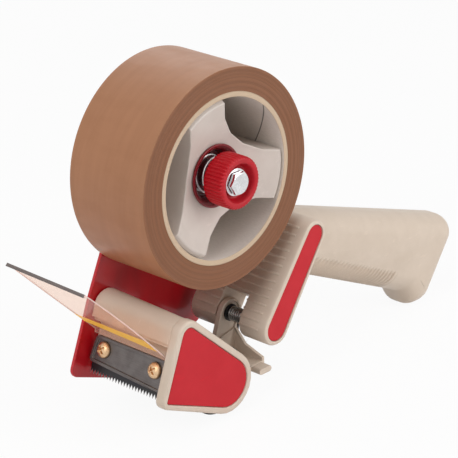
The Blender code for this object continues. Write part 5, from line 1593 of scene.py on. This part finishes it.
@dataclass
class BrakeLever:
    """Sprung lever with its pin, black washer and coiled spring."""

    bench: Bench
    coil_radius: float = 3.3
    wire: float = 0.4
    start: float = -1.6
    end: float = -9.7
    turns: float = 6.0

    def build(self) -> None:
        """Dress the lever and make its spring."""
        self.bench.recast("brake_lever", CREAM, 0.25, 2)
        self.bench.recast("lever_pin", STEEL, 0.3)
        self.bench.recast("lever_washer", BLACK_STEEL, 0.2)
        self.spring()

    def spring(self) -> None:
        """Torsion spring: an even coil about the pin, with a short leg at each end."""
        a = np.linspace(0, 2 * math.pi * self.turns, int(self.turns * 36))
        y = self.start + (self.end - self.start) * a / a[-1]
        coil = about(LEVER_AXIS, self.coil_radius, y, a)
        reach = np.linspace(1.6, 0.4, 5)[:, None]
        first = coil[0] + reach * np.array((0.1, 0.1, -1.0))
        last = coil[-1] + reach[::-1] * np.array((0.02, -0.02, 0.4))
        shell = wire(np.concatenate((first, coil, last)), self.wire, 10)
        self.bench.piece("lever_coil", shell, GREY_WIRE, "frame", ("lever_spring",))


@dataclass
class SidePlate:
    """Pressed steel side plate, and the screws that go through it."""

    bench: Bench
    shoulder_heights: tuple[float, float, float] = (56.3, 85.4, 112.0)
    shoulder_reach: float = 4.8
    still: float = ROLL_AXIS[0] - 8.0  # X past which the plate stays as it is

    def build(self) -> None:
        """Dress the pieces."""
        self.bench.recast("side_plate", ENAMEL, 0.35, 2, moved=self.fuller)
        for node in ("head_screw_1", "head_screw_2", "handle_screw_1", "handle_screw_2"):
            self.bench.recast(node, STEEL, 0.2)

    def fuller(self, points: np.ndarray) -> np.ndarray:
        """Move the shoulder of the outline forward, as photographed.

        The move grows evenly from the lowest of the three heights to the middle one and falls off again to
        the highest.

        Args:
            points: The plate's points.

        Returns:
            The points, of which those before the hub are moved.
        """
        reach = np.interp(points[:, 2], self.shoulder_heights, (0.0, self.shoulder_reach, 0.0))
        made = points.copy()
        made[:, 0] -= reach * (points[:, 0] < self.still)
        return made


# Studio


@dataclass
class Studio:
    """Pale floor, soft light at a plain level and the camera of the photograph."""

    ambient: float = 0.27
    floor_white: float = 0.93
    floor_half: float = 2.5
    floor_drop: float = 0.0002
    focal_length: float = 191.476
    lamps: tuple[tuple[str, tuple[float, float, float], float, float], ...] = (
        ("key", (0.5, -1.0, 0.5), 0.9, 6.7),
        ("side", (-1.0, -0.15, 0.85), 0.8, 4.2),
        ("top", (-0.4, -0.1, 1.1), 1.0, 3.2),
        ("rear", (0.5, 0.9, 0.7), 0.8, 1.6),
    )
    lamp_aim: tuple[float, float, float] = (0.0, 0.0, 0.07)
    camera_place: tuple[float, float, float] = (-0.77349413, -0.75208418, 0.50571186)
    camera_right: tuple[float, float, float] = (0.69973545, -0.71398405, -0.0244353)
    camera_up: tuple[float, float, float] = (0.28246503, 0.24508742, 0.92744038)
    camera_back: tuple[float, float, float] = (-0.65618885, -0.65586503, 0.37317188)

    def build(self) -> None:
        """Set up the floor, world, lamps and camera."""
        bpy.context.scene.view_settings.view_transform = "Standard"
        self.world()
        self.floor()
        for lamp in self.lamps:
            self.lamp(*lamp)
        self.camera()

    def world(self) -> None:
        """Light the room evenly, and show it white."""
        room = bpy.data.worlds.new("room")
        bpy.context.scene.world = room
        graph = Graph(room)
        sockets = {"Color": WHITE, "Strength": graph.seen(self.ambient, 1.0)}
        graph.add("ShaderNodeOutputWorld", sockets={"Surface": graph.add("ShaderNodeBackground", sockets=sockets)})

    def floor(self) -> None:
        """Pale paper floor that keeps the object's shadow."""
        mesh = bpy.data.meshes.new("floor")
        square = ((-1, -1), (1, -1), (1, 1), (-1, 1))
        corners = [(x * self.floor_half, y * self.floor_half, -self.floor_drop) for x, y in square]
        mesh.from_pydata(corners, [], [(0, 1, 2, 3)])
        floor = bpy.data.objects.new("floor", mesh)
        bpy.context.scene.collection.objects.link(floor)
        material = bpy.data.materials.new("paper_floor")
        graph = Graph(material)
        paper = graph.add("ShaderNodeBsdfDiffuse", sockets={"Color": (0.9, 0.9, 0.9)})
        glow = graph.add("ShaderNodeEmission", sockets={"Color": WHITE})
        sockets = {0: graph.seen(0.0, self.floor_white), 1: paper, 2: glow}
        graph.add("ShaderNodeOutputMaterial", sockets={"Surface": graph.add("ShaderNodeMixShader", sockets=sockets)})
        mesh.materials.append(material)

    def lamp(self, name: str, place: tuple[float, float, float], size: float, power: float) -> None:
        """Hang a soft lamp that faces the tool.

        Args:
            name: The lamp's name.
            place: Where it hangs, in metres.
            size: Its side, in metres.
            power: Its power, in watts.
        """
        data = bpy.data.lights.new(name, "AREA")
        data.shape = "DISK"
        data.size = size
        data.energy = power
        lamp = bpy.data.objects.new(name, data)
        bpy.context.scene.collection.objects.link(lamp)
        back = np.array(place) - self.lamp_aim
        back /= np.linalg.norm(back)
        right = np.cross((0.0, 0.0, 1.0), back)
        right /= np.linalg.norm(right)
        up = np.cross(back, right)
        lamp.matrix_world = self._frame(right, up, back, place)

    @staticmethod
    def _frame(right: Sequence[float], up: Sequence[float], back: Sequence[float], place: Sequence[float]) -> Matrix:
        """Make the matrix of an object from its three axes and its place."""
        rows = np.stack((right, up, back, place), axis=1)
        return Matrix([*rows.tolist(), (0, 0, 0, 1)])

    def camera(self) -> None:
        """Stand the camera where the photograph was taken from."""
        data = bpy.data.cameras.new("camera")
        data.sensor_fit = "HORIZONTAL"
        data.sensor_width = 36.0
        data.lens = self.focal_length
        data.clip_end = 20.0
        camera = bpy.data.objects.new("camera", data)
        bpy.context.scene.collection.objects.link(camera)
        camera.matrix_world = self._frame(self.camera_right, self.camera_up, self.camera_back, self.camera_place)
        bpy.context.scene.camera = camera


def main() -> None:
    """Build and dress every sub-assembly, then the studio, and report each piece."""
    logging.basicConfig(level=logging.INFO, format="%(message)s")
    bench = Bench()
    front = Front()
    assemblies = (
        SidePlate(bench),
        Head(bench, front),
        BladeSet(bench, front),
        Flap(bench, front),
        Roller(bench),
        Handle(bench),
        BrakeLever(bench),
        TapeRoll(bench),
        Hub(bench),
        TensionStack(bench),
        Studio(),
    )
    for assembly in assemblies:
        log.info("building %s", type(assembly).__name__)
        assembly.build()


if __name__ == "__main__":
    main()
